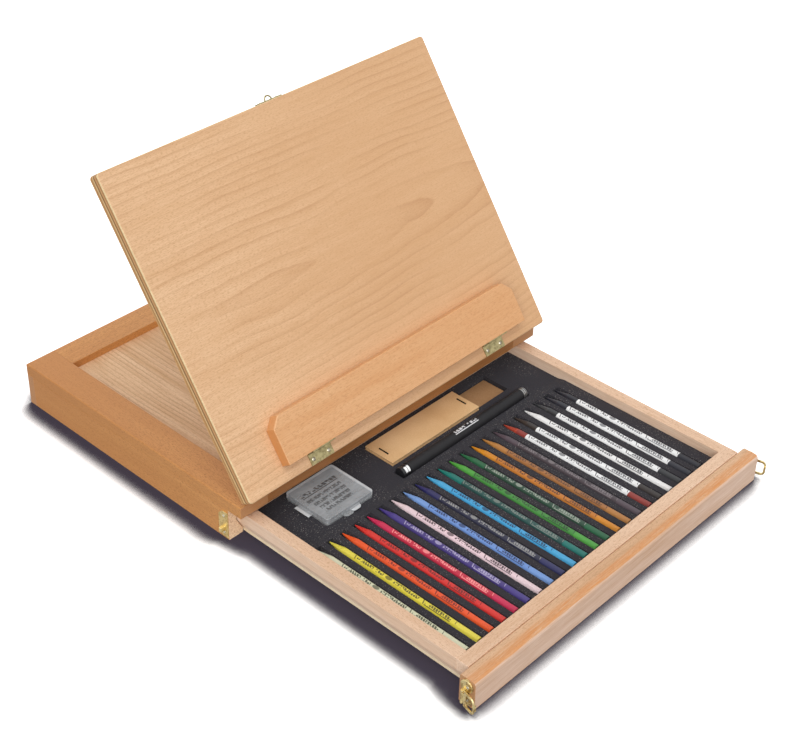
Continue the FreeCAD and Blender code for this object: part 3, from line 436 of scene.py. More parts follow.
def clear_plastic(name, body, density, printed=False):
    """Slightly frosted clear plastic with mould swirls; on the lid small print and a painted edge highlight."""
    g = Graph(name)
    parts = g.split(g.object)
    swirl = g.grained(parts, SWIRL)
    frost = g.grained(parts, FROST)
    base = g.mix(swirl, shaded(body, SWIRL_DARKENING), colour(*body))
    alpha = g.swing(swirl, SWIRL_DENSITY, density)
    if printed:
        low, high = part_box("eraser_box_lid")
        u = g.share(parts[0], low.x, high.x)
        v = g.share(parts[1], low.y, high.y)
        # Painted highlight: a near-white band round the lid's edge
        edge_highlight_mask = g.math("SUBTRACT", 1.0, g.patch(u, v, *LID_FIELD, LID_FIELD_EDGE))
        base = g.tinted(base, edge_highlight_mask, LID_EDGE_HIGHLIGHT_STRENGTH, LID_EDGE_HIGHLIGHT_WHITE)
        alpha = g.math("MULTIPLY_ADD", edge_highlight_mask, LID_EDGE_HIGHLIGHT_DENSITY, alpha)
        rows = [
            g.patch(u, v, left, right, start, start + LID_ROW_HEIGHT, LID_PRINT_EDGE)
            for left, right, start in LID_ROWS
        ]
        text = g.both(g.either(*rows), print_marks(g, u, v, LID_ROW_LETTER, LID_ROW_HEIGHT))
        heading = g.both(
            g.patch(u, v, *LID_HEADING, LID_PRINT_EDGE),
            print_marks(g, u, v, LID_HEADING_LETTER, LID_HEADING[3] - LID_HEADING[2]),
        )
        ink = g.either(text, heading, g.patch(u, v, *LID_RULE, LID_PRINT_EDGE))
        ink = g.both(ink, g.steps(g.math("SUBTRACT", parts[2], high.z), *LID_INK_DEPTH))
        base = g.tinted(base, ink, LID_INK_STRENGTH, LID_INK)
        alpha = g.math("MAXIMUM", alpha, g.math("MULTIPLY", ink, LID_INK_DENSITY))
    g.set(Base_Color=base, Alpha=alpha, Roughness=g.math("MULTIPLY_ADD", swirl, *SWIRL_ROUGHNESS))
    g.set(IOR=1.46, Coat_Weight=0.4)
    g.bump(g.math("MULTIPLY_ADD", frost, FROST_SHARE, swirl), SWIRL_RELIEF, 0.3)
    return g.material


ERASER_TONES = (colour(104, 107, 111), colour(160, 163, 166))
ERASER_RELIEF = 0.6 * MM


def eraser_material():
    """Grey kneaded eraser with soft clouds and dents."""
    g = Graph("kneaded_eraser")
    cloud = g.noise(g.object, detail=3.0, roughness=0.6, scale=90.0)
    g.set(Base_Color=g.mix(cloud, *ERASER_TONES), Roughness=0.8)
    g.bump(cloud, ERASER_RELIEF, 0.5)
    return g.material


PAPER_FIBRE = (900.0, 1500.0, 900.0), 3.0, 0.7
PAPER_FIBRE_SHARE = 0.45
PAPER_RANGE = (0.3, 0.7)
PAPER_RELIEF = 0.1 * MM
SHEETS_PER_METRE = 1250.0
SHEET_GAP = (0.72, 0.95)
SHEET_EDGE_TURN = (0.7, 0.4)
SHEET_GAP_BROWN = colour(96, 76, 50)
SHEET_GAP_STRENGTH = 0.75


def kraft(name, light, dark, layered=False):
    """Brown paper board: short fibres, faint clouds, and on the pad its cut layers."""
    g = Graph(name)
    parts = g.split(g.object)
    fibre = g.grained(parts, PAPER_FIBRE)
    cloud = g.noise(g.object, detail=3.0, roughness=0.5, scale=18.0)
    clouds = g.math("MULTIPLY", cloud, 1 - PAPER_FIBRE_SHARE)
    share = g.math("MULTIPLY_ADD", fibre, PAPER_FIBRE_SHARE, clouds)
    base = g.mix(g.steps(share, *PAPER_RANGE), light, dark)
    if layered:
        sheets = g.math("FRACT", g.math("MULTIPLY", parts[2], SHEETS_PER_METRE))
        on_edge = g.steps(g.split(g.normal)[2], *SHEET_EDGE_TURN)
        gaps = g.both(on_edge, g.steps(sheets, *SHEET_GAP))
        base = g.tinted(base, gaps, SHEET_GAP_STRENGTH, SHEET_GAP_BROWN)
    g.set(Base_Color=base, Roughness=0.82, Specular_IOR_Level=0.25)
    g.bump(fibre, PAPER_RELIEF, 0.4)
    return g.material


# Print on the holder's tube: shares of its length from the left, metres across from its middle
TUBE_TEXT = (0.405, 0.595, -1.3 * MM, 1.9 * MM)
TUBE_RULE = (0.40, 0.60, -2.9 * MM, -2.1 * MM)
TUBE_TEXT_EDGE = 0.0005
TUBE_RULE_EDGE = 0.0002
TUBE_LETTER = 0.0236
TUBE_LETTER_HEIGHT = 3.2 * MM
TUBE_TONES = (colour(20, 20, 22), colour(34, 33, 36))
TUBE_INK = colour(232, 232, 234)
TUBE_INK_STRENGTH = 0.9
TUBE_UPPER = (0.3, 0.5)
WEAR_RELIEF = 0.04 * MM
WEAR_ROUGHNESS = (0.14, 0.46)


def satin_black(name):
    """Black lacquered tube, slightly worn, with a short line of pale print."""
    g = Graph(name)
    low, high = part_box("pencil_holder_tube")
    x, y = g.split(g.object)[:2]
    u = g.share(x, low.x, high.x)
    v = g.math("SUBTRACT", y, (low.y + high.y) / 2)
    upper = g.steps(g.split(g.normal)[2], *TUBE_UPPER)
    text = g.both(
        g.patch(u, v, *TUBE_TEXT, TUBE_TEXT_EDGE),
        print_marks(g, u, v, TUBE_LETTER, TUBE_LETTER_HEIGHT),
    )
    ink = g.both(g.either(text, g.patch(u, v, *TUBE_RULE, TUBE_RULE_EDGE)), upper)
    wear = g.noise(g.object, detail=4.0, roughness=0.6, scale=120.0)
    g.set(Base_Color=g.tinted(g.mix(wear, *TUBE_TONES), ink, TUBE_INK_STRENGTH, TUBE_INK))
    g.set(Roughness=g.math("MULTIPLY_ADD", wear, *WEAR_ROUGHNESS), Specular_IOR_Level=0.3)
    g.bump(wear, WEAR_RELIEF, 0.4)
    return g.material


# The collar's painted highlight, a white glint: metres from the left end, and a direction
# between the back and up
GLINT_SPAN = (3.4 * MM, 9.2 * MM)
GLINT_BACK = -0.62
GLINT_UP = 0.78
GLINT_TURN = (0.80, 0.86)
COLLAR_AND_GLINT_TONES = (colour(30, 30, 33), colour(250, 250, 250))
CAP_FROM = 50.0 * MM
CAP_RING_PITCH = 2.1 * MM
CAP_RING_SHARE = 0.42
CAP_TONES = (colour(168, 168, 166), colour(74, 72, 72))
CAP_METALLIC = 0.75


def holder_fittings():
    """The holder's ends: a black collar with one painted white highlight, and a ringed steel cap."""
    g = Graph("holder_fittings")
    low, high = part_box("pencil_holder_ends")
    x = g.split(g.object)[0]
    from_left = g.math("SUBTRACT", x, low.x)
    from_right = g.math("SUBTRACT", high.x, x)
    back_way, up_way = g.split(g.normal)[1:]
    facing = g.math("MULTIPLY", up_way, GLINT_UP)
    facing = g.math("MULTIPLY_ADD", back_way, GLINT_BACK, facing)
    # Painted highlight: white where the collar's faces turn up and back
    glint = g.both(g.between(from_left, *GLINT_SPAN), g.steps(facing, *GLINT_TURN))
    rings = g.math("FRACT", g.math("DIVIDE", from_right, CAP_RING_PITCH))
    rings = g.math("LESS_THAN", rings, CAP_RING_SHARE)
    on_cap = g.math("GREATER_THAN", from_left, CAP_FROM)
    g.set(Base_Color=g.mix(on_cap, g.mix(glint, *COLLAR_AND_GLINT_TONES), g.mix(rings, *CAP_TONES)))
    g.set(Roughness=0.32, Metallic=g.math("MULTIPLY", on_cap, CAP_METALLIC))
    wear = g.noise(g.object, detail=4.0, roughness=0.6, scale=300.0)
    g.bump(wear, WEAR_RELIEF, 0.4)
    return g.material


# ---- Meshes ---------------------------------

MERGE_DISTANCE = 0.001 * MM
FLAT_ANGLE = math.radians(0.4)
SHARP_ANGLE = math.radians(28)
ROUNDING_SEGMENTS = 2


def add_object(name, mesh, material, body, replaced=()):
    piece = bpy.data.objects.new(name, mesh)
    bpy.context.scene.collection.objects.link(piece)
    mesh.materials.clear()
    mesh.materials.append(material)
    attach(piece, body)
    if replaced:
        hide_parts(*replaced)
    return piece


def finish_mesh(bm, name, smooth_angle=35.0):
    mesh = bpy.data.meshes.new(name)
    bm.to_mesh(mesh)
    bm.free()
    mesh.shade_smooth()
    mesh.set_sharp_from_angle(angle=math.radians(smooth_angle))
    return mesh


def body_of(node):
    bodies = frame["record"]["behaviour"]["bodies"]
    return next(body for body, members in bodies.items() if node in members)


def welded(node):
    """A CAD node's mesh as a bmesh, its triangles joined back into flat faces."""
    bm = bmesh.new()
    bm.from_mesh(NODES[node].data)
    bmesh.ops.remove_doubles(bm, verts=bm.verts, dist=MERGE_DISTANCE)
    bmesh.ops.dissolve_limit(bm, angle_limit=FLAT_ANGLE, verts=bm.verts, edges=bm.edges)
    return bm


def softened(node, material, width, highlight_rim=None, shape=None):
    """A piece in a CAD node's place whose sharp edges are rounded by the width. The rim is
    another material for the rounding, which paints a highlight on it, and shape a function
    that moves the vertices."""
    bm = welded(node)
    if width:
        sharp = [
            edge for edge in bm.edges
            if len(edge.link_faces) == 2 and edge.calc_face_angle(0) > SHARP_ANGLE
        ]
        rounding = bmesh.ops.bevel(
            bm, geom=sharp, offset=width, segments=ROUNDING_SEGMENTS, profile=0.5,
            affect="EDGES", clamp_overlap=True, harden_normals=False,
        )
        # The rounding takes the rim material, a painted highlight
        if highlight_rim:
            for face in rounding["faces"]:
                face.material_index = 1
    if shape:
        shape(bm)
    mesh = finish_mesh(bm, node + "_form")
    piece = add_object(node + "_form", mesh, material, body_of(node), [node])
    if highlight_rim:
        mesh.materials.append(highlight_rim)
    weighted = piece.modifiers.new("flat faces", "WEIGHTED_NORMAL")
    weighted.keep_sharp = True
    return piece


# ---- Case, board and drawer -----------------

# Light and dark colour of each sort of beech
BEECH_WARM = (colour(222, 162, 96), colour(184, 122, 66))
BEECH_PALE = (colour(242, 212, 186), colour(212, 170, 134))
BEECH_BOARD = (colour(241, 204, 165), colour(206, 158, 112))
BEECH_PANEL = (colour(242, 208, 170), colour(206, 162, 118))
BEECH_LEDGE = (colour(234, 190, 144), colour(210, 150, 98))
BEECH_BAR = (colour(226, 186, 150), colour(192, 148, 108))
BEECH_BOTTOM = (colour(252, 238, 212), colour(230, 204, 166))

# Colours of the faces across the grain, and of those beside it
END_WARM = colour(190, 140, 98)
END_ORANGE = colour(206, 142, 84)
END_PINK = colour(250, 220, 186)
END_CREAM = colour(248, 218, 192)
END_PALE = colour(204, 170, 144)
# Painted shade: the front rail's faces beside the grain are dark brown for the shadow under the board
SIDE_PAINTED_SHADE = colour(126, 80, 48)
# Painted light: the drawer sides' faces beside the grain are lighter than their tops, for the light those faces
# lack
SIDE_PAINTED_LIGHT = colour(252, 230, 210)
SIDE_BAR = colour(240, 216, 200)

VENEERS = [
    colour(214, 168, 108), colour(190, 134, 80), colour(228, 196, 140), colour(152, 104, 60),
    colour(214, 168, 112), colour(190, 134, 82), colour(238, 216, 166),
]

# Darkening along the grain: its strength, and the two places between which it sets in
CASE_FADE = (0.6, -0.30, 0.02)
BOARD_FADE = (0.50, -0.20, 0.12)
LEDGE_FADE = (0.35, -0.16, 0.20)

# The stain that ends on the drawer's bar, between two shares of its depth from the front
BAR_STAIN = (0.35, 0.70)
BAR_STAIN_ORANGE = colour(212, 138, 74)

# How far the edges are rounded
FRAME_ROUNDING = 0.4 * MM
BOARD_ROUNDING = 0.35 * MM
LEDGE_ROUNDING = 0.5 * MM
BAR_ROUNDING = 0.3 * MM
BOTTOM_ROUNDING = 0.2 * MM

# The hinge axis in the turned coordinates of the board's material
TURNED_AXIS = Matrix.Rotation(-BOARD_TURN, 3, "X") @ HINGE_AXIS

# Growth rings; their centre is a place along and across the grain
PANEL_RINGS = {
    "centre": (-0.1, 0.02), "slope": 0.05, "pitch": 0.012, "bend": 3.0,
    "tint": colour(160, 116, 80), "share": 0.8,
}
BOARD_RINGS = {
    "centre": (-0.10, TURNED_AXIS.y + 0.165), "slope": 0.09, "pitch": 0.016, "bend": 2.6,
    "tint": colour(178, 124, 80), "share": 0.5,
}


def make_case():
    members = {
        "case_side_left": "Y", "case_side_right": "Y", "case_back": "X",
        "top_stile_left": "Y", "top_stile_right": "Y",
        "top_rail_front": "X", "top_rail_back": "X",
    }
    for seed, (node, grain) in enumerate(members.items(), 2):
        material = wood(
            node, *BEECH_WARM, grain, seed, contrast=0.8, fleck=0.85,
            end=END_PINK if node.startswith("case_side") else END_WARM,
            # painted shade on the front rail's faces beside the grain
            side=SIDE_PAINTED_SHADE if node == "top_rail_front" else None,
            fade=CASE_FADE if grain == "Y" else None,
        )
        softened(node, material, FRAME_ROUNDING)
    panel = wood(
        "top_panel", *BEECH_PANEL, "Y", seed=11, contrast=1.1, rings=PANEL_RINGS, fleck=0.5,
        rough=0.6,
    )
    softened("top_panel", panel, 0)


def ply_range(node):
    depths = [on_board(vertex.co).z + TURNED_AXIS.z for vertex in NODES[node].data.vertices]
    return min(depths), max(depths)


def make_board():
    material = wood(
        "easel_board", *BEECH_BOARD, "X", seed=21, turn=BOARD_TURN, contrast=0.45,
        rings=BOARD_RINGS, fleck=0.55, plies=(*ply_range("easel_board"), VENEERS),
        fade=BOARD_FADE,
    )
    softened("easel_board", material, BOARD_ROUNDING)
    ledge = wood(
        "ledge", *BEECH_LEDGE, "X", seed=33, turn=BOARD_TURN, contrast=0.6, end=END_ORANGE,
        fleck=0.55, fade=LEDGE_FADE,
    )
    softened("ledge", ledge, LEDGE_ROUNDING)
    prop = wood("prop_frame", *BEECH_BOARD, "Y", seed=44, contrast=0.8, end=END_PALE, fleck=0.3)
    softened("prop_frame", prop, FRAME_ROUNDING)


def make_drawer():
    members = {
        "drawer_front_rail": "X", "drawer_side_left": "Y", "drawer_side_right": "Y",
        "drawer_back": "X",
    }
    for seed, (node, grain) in enumerate(members.items(), 50):
        material = wood(
            node, *BEECH_PALE, grain, seed, contrast=0.7, fleck=0.7, end=END_CREAM,
            # painted light on the drawer sides' faces beside the grain
            side=SIDE_PAINTED_LIGHT if grain == "Y" else None,
        )
        softened(node, material, FRAME_ROUNDING)
    low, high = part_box("drawer_front_bar")
    start, finish = [low.y + share * (high.y - low.y) for share in BAR_STAIN]
    bar = wood(
        "drawer_front_bar", *BEECH_BAR, "X", seed=61, contrast=0.9, end=END_WARM,
        side=SIDE_BAR, fleck=0.5, stain=(start, finish, BAR_STAIN_ORANGE),
    )
    softened("drawer_front_bar", bar, BAR_ROUNDING)
    bottom = wood(
        "drawer_bottom", *BEECH_BOTTOM, "X", seed=70, contrast=0.6, fleck=0.2, rough=0.6
    )
    softened("drawer_bottom", bottom, BOTTOM_ROUNDING)


# ---- Metalwork ------------------------------

# Each metal: its tint, the dull tint of its patches, seed, roughness, strength of the patches
METALS = {
    "pale_brass": (colour(255, 234, 170), colour(190, 158, 96), 1, 0.28, 0.6),
    "gold_brass": (colour(255, 236, 176), colour(150, 112, 54), 2, 0.20, 0.8),
    "old_brass": (colour(184, 172, 128), colour(112, 100, 66), 3, 0.34, 0.5),
    "screw_steel": (colour(214, 208, 190), colour(130, 124, 108), 4, 0.26, 0.5),
}

# The metal, how far the edges are rounded, and the pieces
FITTINGS = [
    ("pale_brass", 0.15 * MM, ("keeper_left", "keeper_right")),
    ("gold_brass", 0.12 * MM, (
        "latch_plate_left", "latch_plate_right", "latch_loop_left", "latch_loop_right",
    )),
    ("old_brass", 0.15 * MM, (
        "board_hinge_bases", "board_hinge_leaves", "ledge_hinge_bases", "ledge_hinge_leaves",
        "prop_bracket", "eye_plate",
    )),
    ("screw_steel", 0.1 * MM, ("board_hinge_pins", "ledge_hinge_pins", "prop_pin")),
]


def make_metalwork():
    metals = {name: metal(name, *look) for name, look in METALS.items()}
    for name, rounding, nodes in FITTINGS:
        for node in nodes:
            softened(node, metals[name], rounding)
    make_screws(metals["screw_steel"])


def solids_of(node):
    """Lowest and highest corner of each separate solid of a node: at rest, or in the board's
    own frame for the pieces that tilt with it."""
    bm = bmesh.new()
    bm.from_mesh(NODES[node].data)
    bmesh.ops.remove_doubles(bm, verts=bm.verts, dist=MERGE_DISTANCE)
    place = on_board if body_of(node) in ("board", "ledge") else Vector
    left = set(bm.verts)
    boxes = []
    while left:
        stack = [left.pop()]
        points = []
        while stack:
            vertex = stack.pop()
            points.append(place(vertex.co))
            for edge in vertex.link_edges:
                other = edge.other_vert(vertex)
                if other in left:
                    left.remove(other)
                    stack.append(other)
        low = Vector([min(point[axis] for point in points) for axis in range(3)])
        high = Vector([max(point[axis] for point in points) for axis in range(3)])
        boxes.append((low, high))
    bm.free()
    return sorted(boxes, key=lambda box: box[0].x)


# A screw's head; its dome and cross are in shares of its radius
SCREW_RINGS = 9
SCREW_SEGMENTS = 32
SCREW_DOME = 0.42
DOME_POWER = 2.4
CROSS_WIDTH = 0.17
CROSS_REACH = 0.62
CROSS_DEPTH = 0.34
CROSS_TAPER = 0.6


def add_head(bm, centre, outward, radius):
    """A domed head with a cross recess, its rim at the centre's level."""
    side = outward.orthogonal().normalized()
    other = outward.cross(side)
    rings = []
    for ring in range(1, SCREW_RINGS + 1):
        share = ring / SCREW_RINGS
        row = []
        for step in range(SCREW_SEGMENTS):
            angle = 2 * math.pi * step / SCREW_SEGMENTS
            u = share * math.cos(angle)
            v = share * math.sin(angle)
            height = SCREW_DOME * (1 - share ** DOME_POWER)
            if min(abs(u), abs(v)) < CROSS_WIDTH and max(abs(u), abs(v)) < CROSS_REACH:
                height -= CROSS_DEPTH * (1 - share * CROSS_TAPER)
            row.append(bm.verts.new(centre + radius * (u * side + v * other + height * outward)))
        rings.append(row)
    hub = bm.verts.new(centre + radius * (SCREW_DOME - CROSS_DEPTH) * outward)
    for step in range(SCREW_SEGMENTS):
        after = (step + 1) % SCREW_SEGMENTS
        bm.faces.new((hub, rings[0][step], rings[0][after]))
        for inner, outer in zip(rings, rings[1:]):
            bm.faces.new((inner[step], outer[step], outer[after], inner[after]))


# Thicknesses and places of the CAD's metal pieces, which its boxes don't tell
LEAF_THICKNESS = 1.2 * MM
LEDGE_LEAF_THICKNESS = 1.0 * MM
KEEPER_THICKNESS = 1.0 * MM
LATCH_PLATE_HEIGHT = 1.7 * MM
LATCH_PETAL_OFFSET = 7.0 * MM
EYE_PLATE_THICKNESS = 1.0 * MM
HINGE_SCREW = {"radius": 2.3 * MM, "spread": 17.0 * MM, "inset": 6.0 * MM}
LEDGE_SCREW = {"radius": 2.0 * MM, "spread": 9.5 * MM, "inset": 4.9 * MM}
SMALL_SCREW = {"radius": 1.5 * MM, "inset": 5.0 * MM}
EAR_SCREW = {"radius": 1.8 * MM, "inset": 4.2 * MM}
RIGHT = Vector((1, 0, 0))
ALONG = Vector((0, 1, 0))
UP = Vector((0, 0, 1))


def heads_in_row(node, screw, steps, outward, spot):
    """Heads in a row along X on each solid of a node; spot gives their Y and Z from its box
    and the inset from its edge."""
    places = []
    for low, high in solids_of(node):
        y, z = spot(low, high, screw["inset"])
        for step in steps:
            x = (low.x + high.x) / 2 + step * screw["spread"]
            places.append((Vector((x, y, z)), outward, screw["radius"]))
    return places


def heads_at_sides(nodes, thickness, heights):
    """Heads on a left and a right plate's outer faces; heights gives their Z from its ends."""
    places = []
    for side, node in zip((-1, 1), nodes):
        low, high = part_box(node)
        x = side * (min(abs(low.x), abs(high.x)) + thickness)
        for z in heights(low.z, high.z):
            spot = Vector((x, low.y + SMALL_SCREW["inset"], z))
            places.append((spot, side * RIGHT, SMALL_SCREW["radius"]))
    return places


def case_heads():
    places = heads_in_row(
        "board_hinge_bases", HINGE_SCREW, (-1, 0, 1), UP,
        lambda low, high, inset: (high.y - inset, low.z + LEAF_THICKNESS),
    )
    return places + heads_at_sides(
        ("keeper_left", "keeper_right"), KEEPER_THICKNESS,
        lambda low, high: (low + SMALL_SCREW["inset"], high - SMALL_SCREW["inset"]),
    )


def from_board(places):
    """Heads that were placed in the board's own frame, as they lie at rest."""
    return [(HINGE_AXIS + off_board(spot), off_board(out), radius) for spot, out, radius in places]


def board_heads():
    places = heads_in_row(
        "board_hinge_leaves", HINGE_SCREW, (-1, 0, 1), -UP,
        lambda low, high, inset: (high.y - inset, high.z - LEAF_THICKNESS),
    )
    places += heads_in_row(
        "ledge_hinge_bases", LEDGE_SCREW, (-1, 1), UP,
        lambda low, high, inset: (low.y + inset, low.z + LEDGE_LEAF_THICKNESS),
    )
    for low, high in solids_of("prop_bracket"):
        outer = low.x if low.x < 0 else high.x
        x = outer - math.copysign(EAR_SCREW["inset"], outer)
        for y in (low.y + EAR_SCREW["inset"], high.y - EAR_SCREW["inset"]):
            spot = Vector((x, y, high.z - LEAF_THICKNESS))
            places.append((spot, -UP, EAR_SCREW["radius"]))
    (low, high), = solids_of("eye_plate")
    for x in (low.x + SMALL_SCREW["inset"], high.x - SMALL_SCREW["inset"]):
        spot = Vector((x, low.y + EYE_PLATE_THICKNESS, (low.z + high.z) / 2))
        places.append((spot, ALONG, SMALL_SCREW["radius"]))
    return from_board(places)


def ledge_heads():
    return from_board(heads_in_row(
        "ledge_hinge_leaves", LEDGE_SCREW, (-1, 1), -ALONG,
        lambda low, high, inset: (high.y - LEDGE_LEAF_THICKNESS, high.z - inset),
    ))


def drawer_heads():
    return heads_at_sides(
        ("latch_plate_left", "latch_plate_right"), LATCH_PLATE_HEIGHT,
        lambda low, high: [(low + high) / 2 + LATCH_PETAL_OFFSET * side for side in (-1, 1)],
    )


def make_screws(steel):
    for body, heads in (
        ("case", case_heads), ("board", board_heads), ("ledge", ledge_heads),
        ("drawer", drawer_heads),
    ):
        bm = bmesh.new()
        for centre, outward, radius in heads():
            add_head(bm, centre, outward, radius)
        name = body + "_screw_heads"
        mesh = finish_mesh(bm, name, smooth_angle=40.0)
        add_object(name, mesh, steel, body)


# ---- Pencils --------------------------------

# Name, barrel colour, point colour, print colour
PENCILS = [
    ("ivory", (226, 228, 196), (232, 234, 202), (70, 74, 52)),
    ("yellow", (234, 218, 70), (240, 226, 84), (72, 66, 20)),
    ("orange", (238, 88, 40), (246, 92, 34), (120, 26, 12)),
    ("red", (216, 46, 42), (226, 52, 44), (104, 12, 14)),
    ("raspberry", (196, 36, 66), (214, 44, 92), (250, 150, 150)),
    ("violet", (66, 52, 122), (74, 60, 140), (172, 164, 200)),
    ("pink", (240, 212, 220), (244, 220, 226), (60, 40, 48)),
    ("periwinkle", (112, 150, 216), (126, 166, 228), (24, 40, 84)),
    ("navy", (30, 32, 58), (40, 42, 100), (150, 150, 150)),
    ("sky", (66, 164, 218), (78, 178, 228), (14, 50, 84)),
    ("teal", (22, 72, 68), (16, 128, 118), (120, 132, 126)),
    ("leaf", (62, 138, 56), (82, 172, 66), (20, 60, 22)),
    ("pine", (26, 64, 46), (30, 106, 66), (150, 160, 148)),
    ("ochre", (196, 120, 40), (224, 146, 34), (84, 44, 16)),
    ("tan", (162, 106, 54), (192, 132, 66), (84, 50, 26)),
    ("mauve", (66, 56, 62), (86, 72, 82), (120, 112, 116)),
    ("sanguine", (142, 52, 44), (178, 66, 46), (82, 82, 88)),
    ("sepia", (40, 32, 30), (52, 42, 38), (82, 82, 88)),
    ("white", (246, 246, 246), (250, 250, 250), (60, 60, 64)),
    ("grey", (36, 38, 42), (60, 62, 66), (82, 82, 88)),
    ("charcoal", (26, 28, 40), (36, 38, 50), (82, 82, 88)),
    ("black", (22, 24, 36), (30, 32, 44), (82, 82, 88)),
]
# Those with a white label
LABELLED = {"sanguine", "sepia", "grey", "charcoal", "black"}
LABEL_WHITE = colour(246, 247, 248)
LABEL_SHADE = colour(228, 230, 231)

# The barrel's and the point's shapes
BARREL_FLATS = 7.2 * MM
CORNER_SOFTNESS = 0.40
CORNER_POWER = 4
PENCIL_SIDES = 6
FLAT_STEPS = 6
POINT_LENGTH = 19.0 * MM
POINT_RADIUS = 0.5 * MM
POINT_STATIONS = 14
POINT_LEAD = 2.0 * MM
BUTT_SHRINK = 0.94
BUTT_ROUNDING = 0.35 * MM
BUTT_HOLD = 1.0 * MM

# Print along the barrel, as shares of the length from the point: start and end
MARK_BRACKETS = [0.180, 0.640]
MARK_STROKE = 0.006
MARK_TEXTS = [(0.197, 0.375), (0.447, 0.612), (0.657, 0.822)]
MARK_RULE = (0.655, 0.822)
MARK_RING = (0.842, 0.856)
PRINTED_SPAN = (0.178, 0.858)
LABEL_SPAN = (0.165, 0.862)
SHARE_EDGE = 0.0008
# The emblem's middle and radius in the same shares, and its half width in metres
EMBLEM_MIDDLE = 0.410
EMBLEM_REACH = 0.023
EMBLEM_HALF_WIDTH = 2.2 * MM
EMBLEM_RIM = (1.0, 0.85)
EMBLEM_STRENGTH = 0.85
# Print across the barrel, in metres from its middle
MARK_ZONE = (-2.4 * MM, 1.8 * MM)
LETTER_ZONE = (-1.9 * MM, 1.3 * MM)
RULE_ZONE = (-2.6 * MM, -2.1 * MM)
MARK_EDGE = 0.1 * MM
BRACKET_SLANT = 2.4
LETTER = 2.6 * MM
LETTER_HEIGHT = 3.0 * MM
INK_STRENGTH = 0.92
UPPER_FACES = (0.2, 0.4)

# Looks of the lacquer and the point
LACQUER_CLOUD = (300.0, 40.0, 300.0), 3.0, 0.5
LACQUER_SEED = 100
LACQUER_DARKENING = 0.8
LACQUER_CLOUDS = 0.35
LACQUER_ROUGHNESS = (0.1, 0.36)
CORE = (900.0, 300.0, 900.0), 3.0, 0.7
CORE_DARKENING = 0.86
CORE_ON_ENDS = 0.75
CORE_RELIEF = 0.04 * MM
BARE_POINT = 0.93
BARE_EDGE = 0.004


def pencil_material(name, barrel, point, ink, low, high, middle):
    """Lacquered barrel with print on its upper face; low and high are its ends along Y."""
    g = Graph("pencil_" + name)
    parts = g.split(g.object)
    length = high - low
    u = g.math("SUBTRACT", high, parts[1])
    v = g.math("SUBTRACT", parts[0], middle)
    share = g.math("DIVIDE", u, length)
    cloud = g.grained(parts, LACQUER_CLOUD, middle * LACQUER_SEED)
    body = g.tinted(colour(*barrel), cloud, LACQUER_CLOUDS, shaded(barrel, LACQUER_DARKENING))
    soft = g.grained(parts, CORE)
    core = g.mix(soft, colour(*point), shaded(point, CORE_DARKENING))
    if name in LABELLED:
        paper = g.mix(cloud, LABEL_WHITE, LABEL_SHADE)
        skin = g.mix(g.between(share, *LABEL_SPAN, SHARE_EDGE), body, paper)
    else:
        printed = g.between(share, *PRINTED_SPAN, SHARE_EDGE)
        skin = g.mix(printed, g.mix(CORE_ON_ENDS, body, core), body)

    def mark(place, span, zone):
        return g.patch(place, v, *span, *zone, SHARE_EDGE, MARK_EDGE)

    slanted = g.math("MULTIPLY_ADD", v, BRACKET_SLANT, share)
    brackets = [mark(slanted, (start, start + MARK_STROKE), MARK_ZONE) for start in MARK_BRACKETS]
    fields = [mark(share, span, LETTER_ZONE) for span in (*MARK_TEXTS, MARK_RING)]
    text = g.both(g.either(*fields), print_marks(g, u, v, LETTER, LETTER_HEIGHT))
    from_middle = [
        g.math("DIVIDE", g.math("SUBTRACT", share, EMBLEM_MIDDLE), EMBLEM_REACH),
        g.math("DIVIDE", v, EMBLEM_HALF_WIDTH),
    ]
    squares = g.math("ADD", *[g.math("POWER", way, 2.0) for way in from_middle])
    emblem = g.steps(g.math("SQRT", squares), *EMBLEM_RIM)
    emblem = g.math("MULTIPLY", emblem, EMBLEM_STRENGTH)
    marks = g.either(*brackets, text, emblem, mark(share, MARK_RULE, RULE_ZONE))
    on_top = g.steps(g.split(g.normal)[2], *UPPER_FACES)
    skin = g.tinted(skin, g.both(marks, on_top), INK_STRENGTH, colour(*ink))
    bare = POINT_LENGTH * BARE_POINT / length
    skin = g.mix(g.steps(share, bare + BARE_EDGE, bare - BARE_EDGE), skin, core)
    g.set(Base_Color=skin, Roughness=g.math("MULTIPLY_ADD", cloud, *LACQUER_ROUGHNESS))
    g.set(Coat_Weight=0.12)
    g.bump(soft, CORE_RELIEF, 0.3)
    return g.material


def hexagon_radius(angle, apothem):
    """Distance from the axis to a soft-cornered hexagon with a flat side up."""
    sector = 2 * math.pi / PENCIL_SIDES
    off = (angle - math.pi / 2 + sector / 2) % sector - sector / 2
    flat = apothem / math.cos(off)
    near_corner = (abs(off) / (sector / 2)) ** CORNER_POWER
    return flat - CORNER_SOFTNESS * (flat - apothem) * near_corner


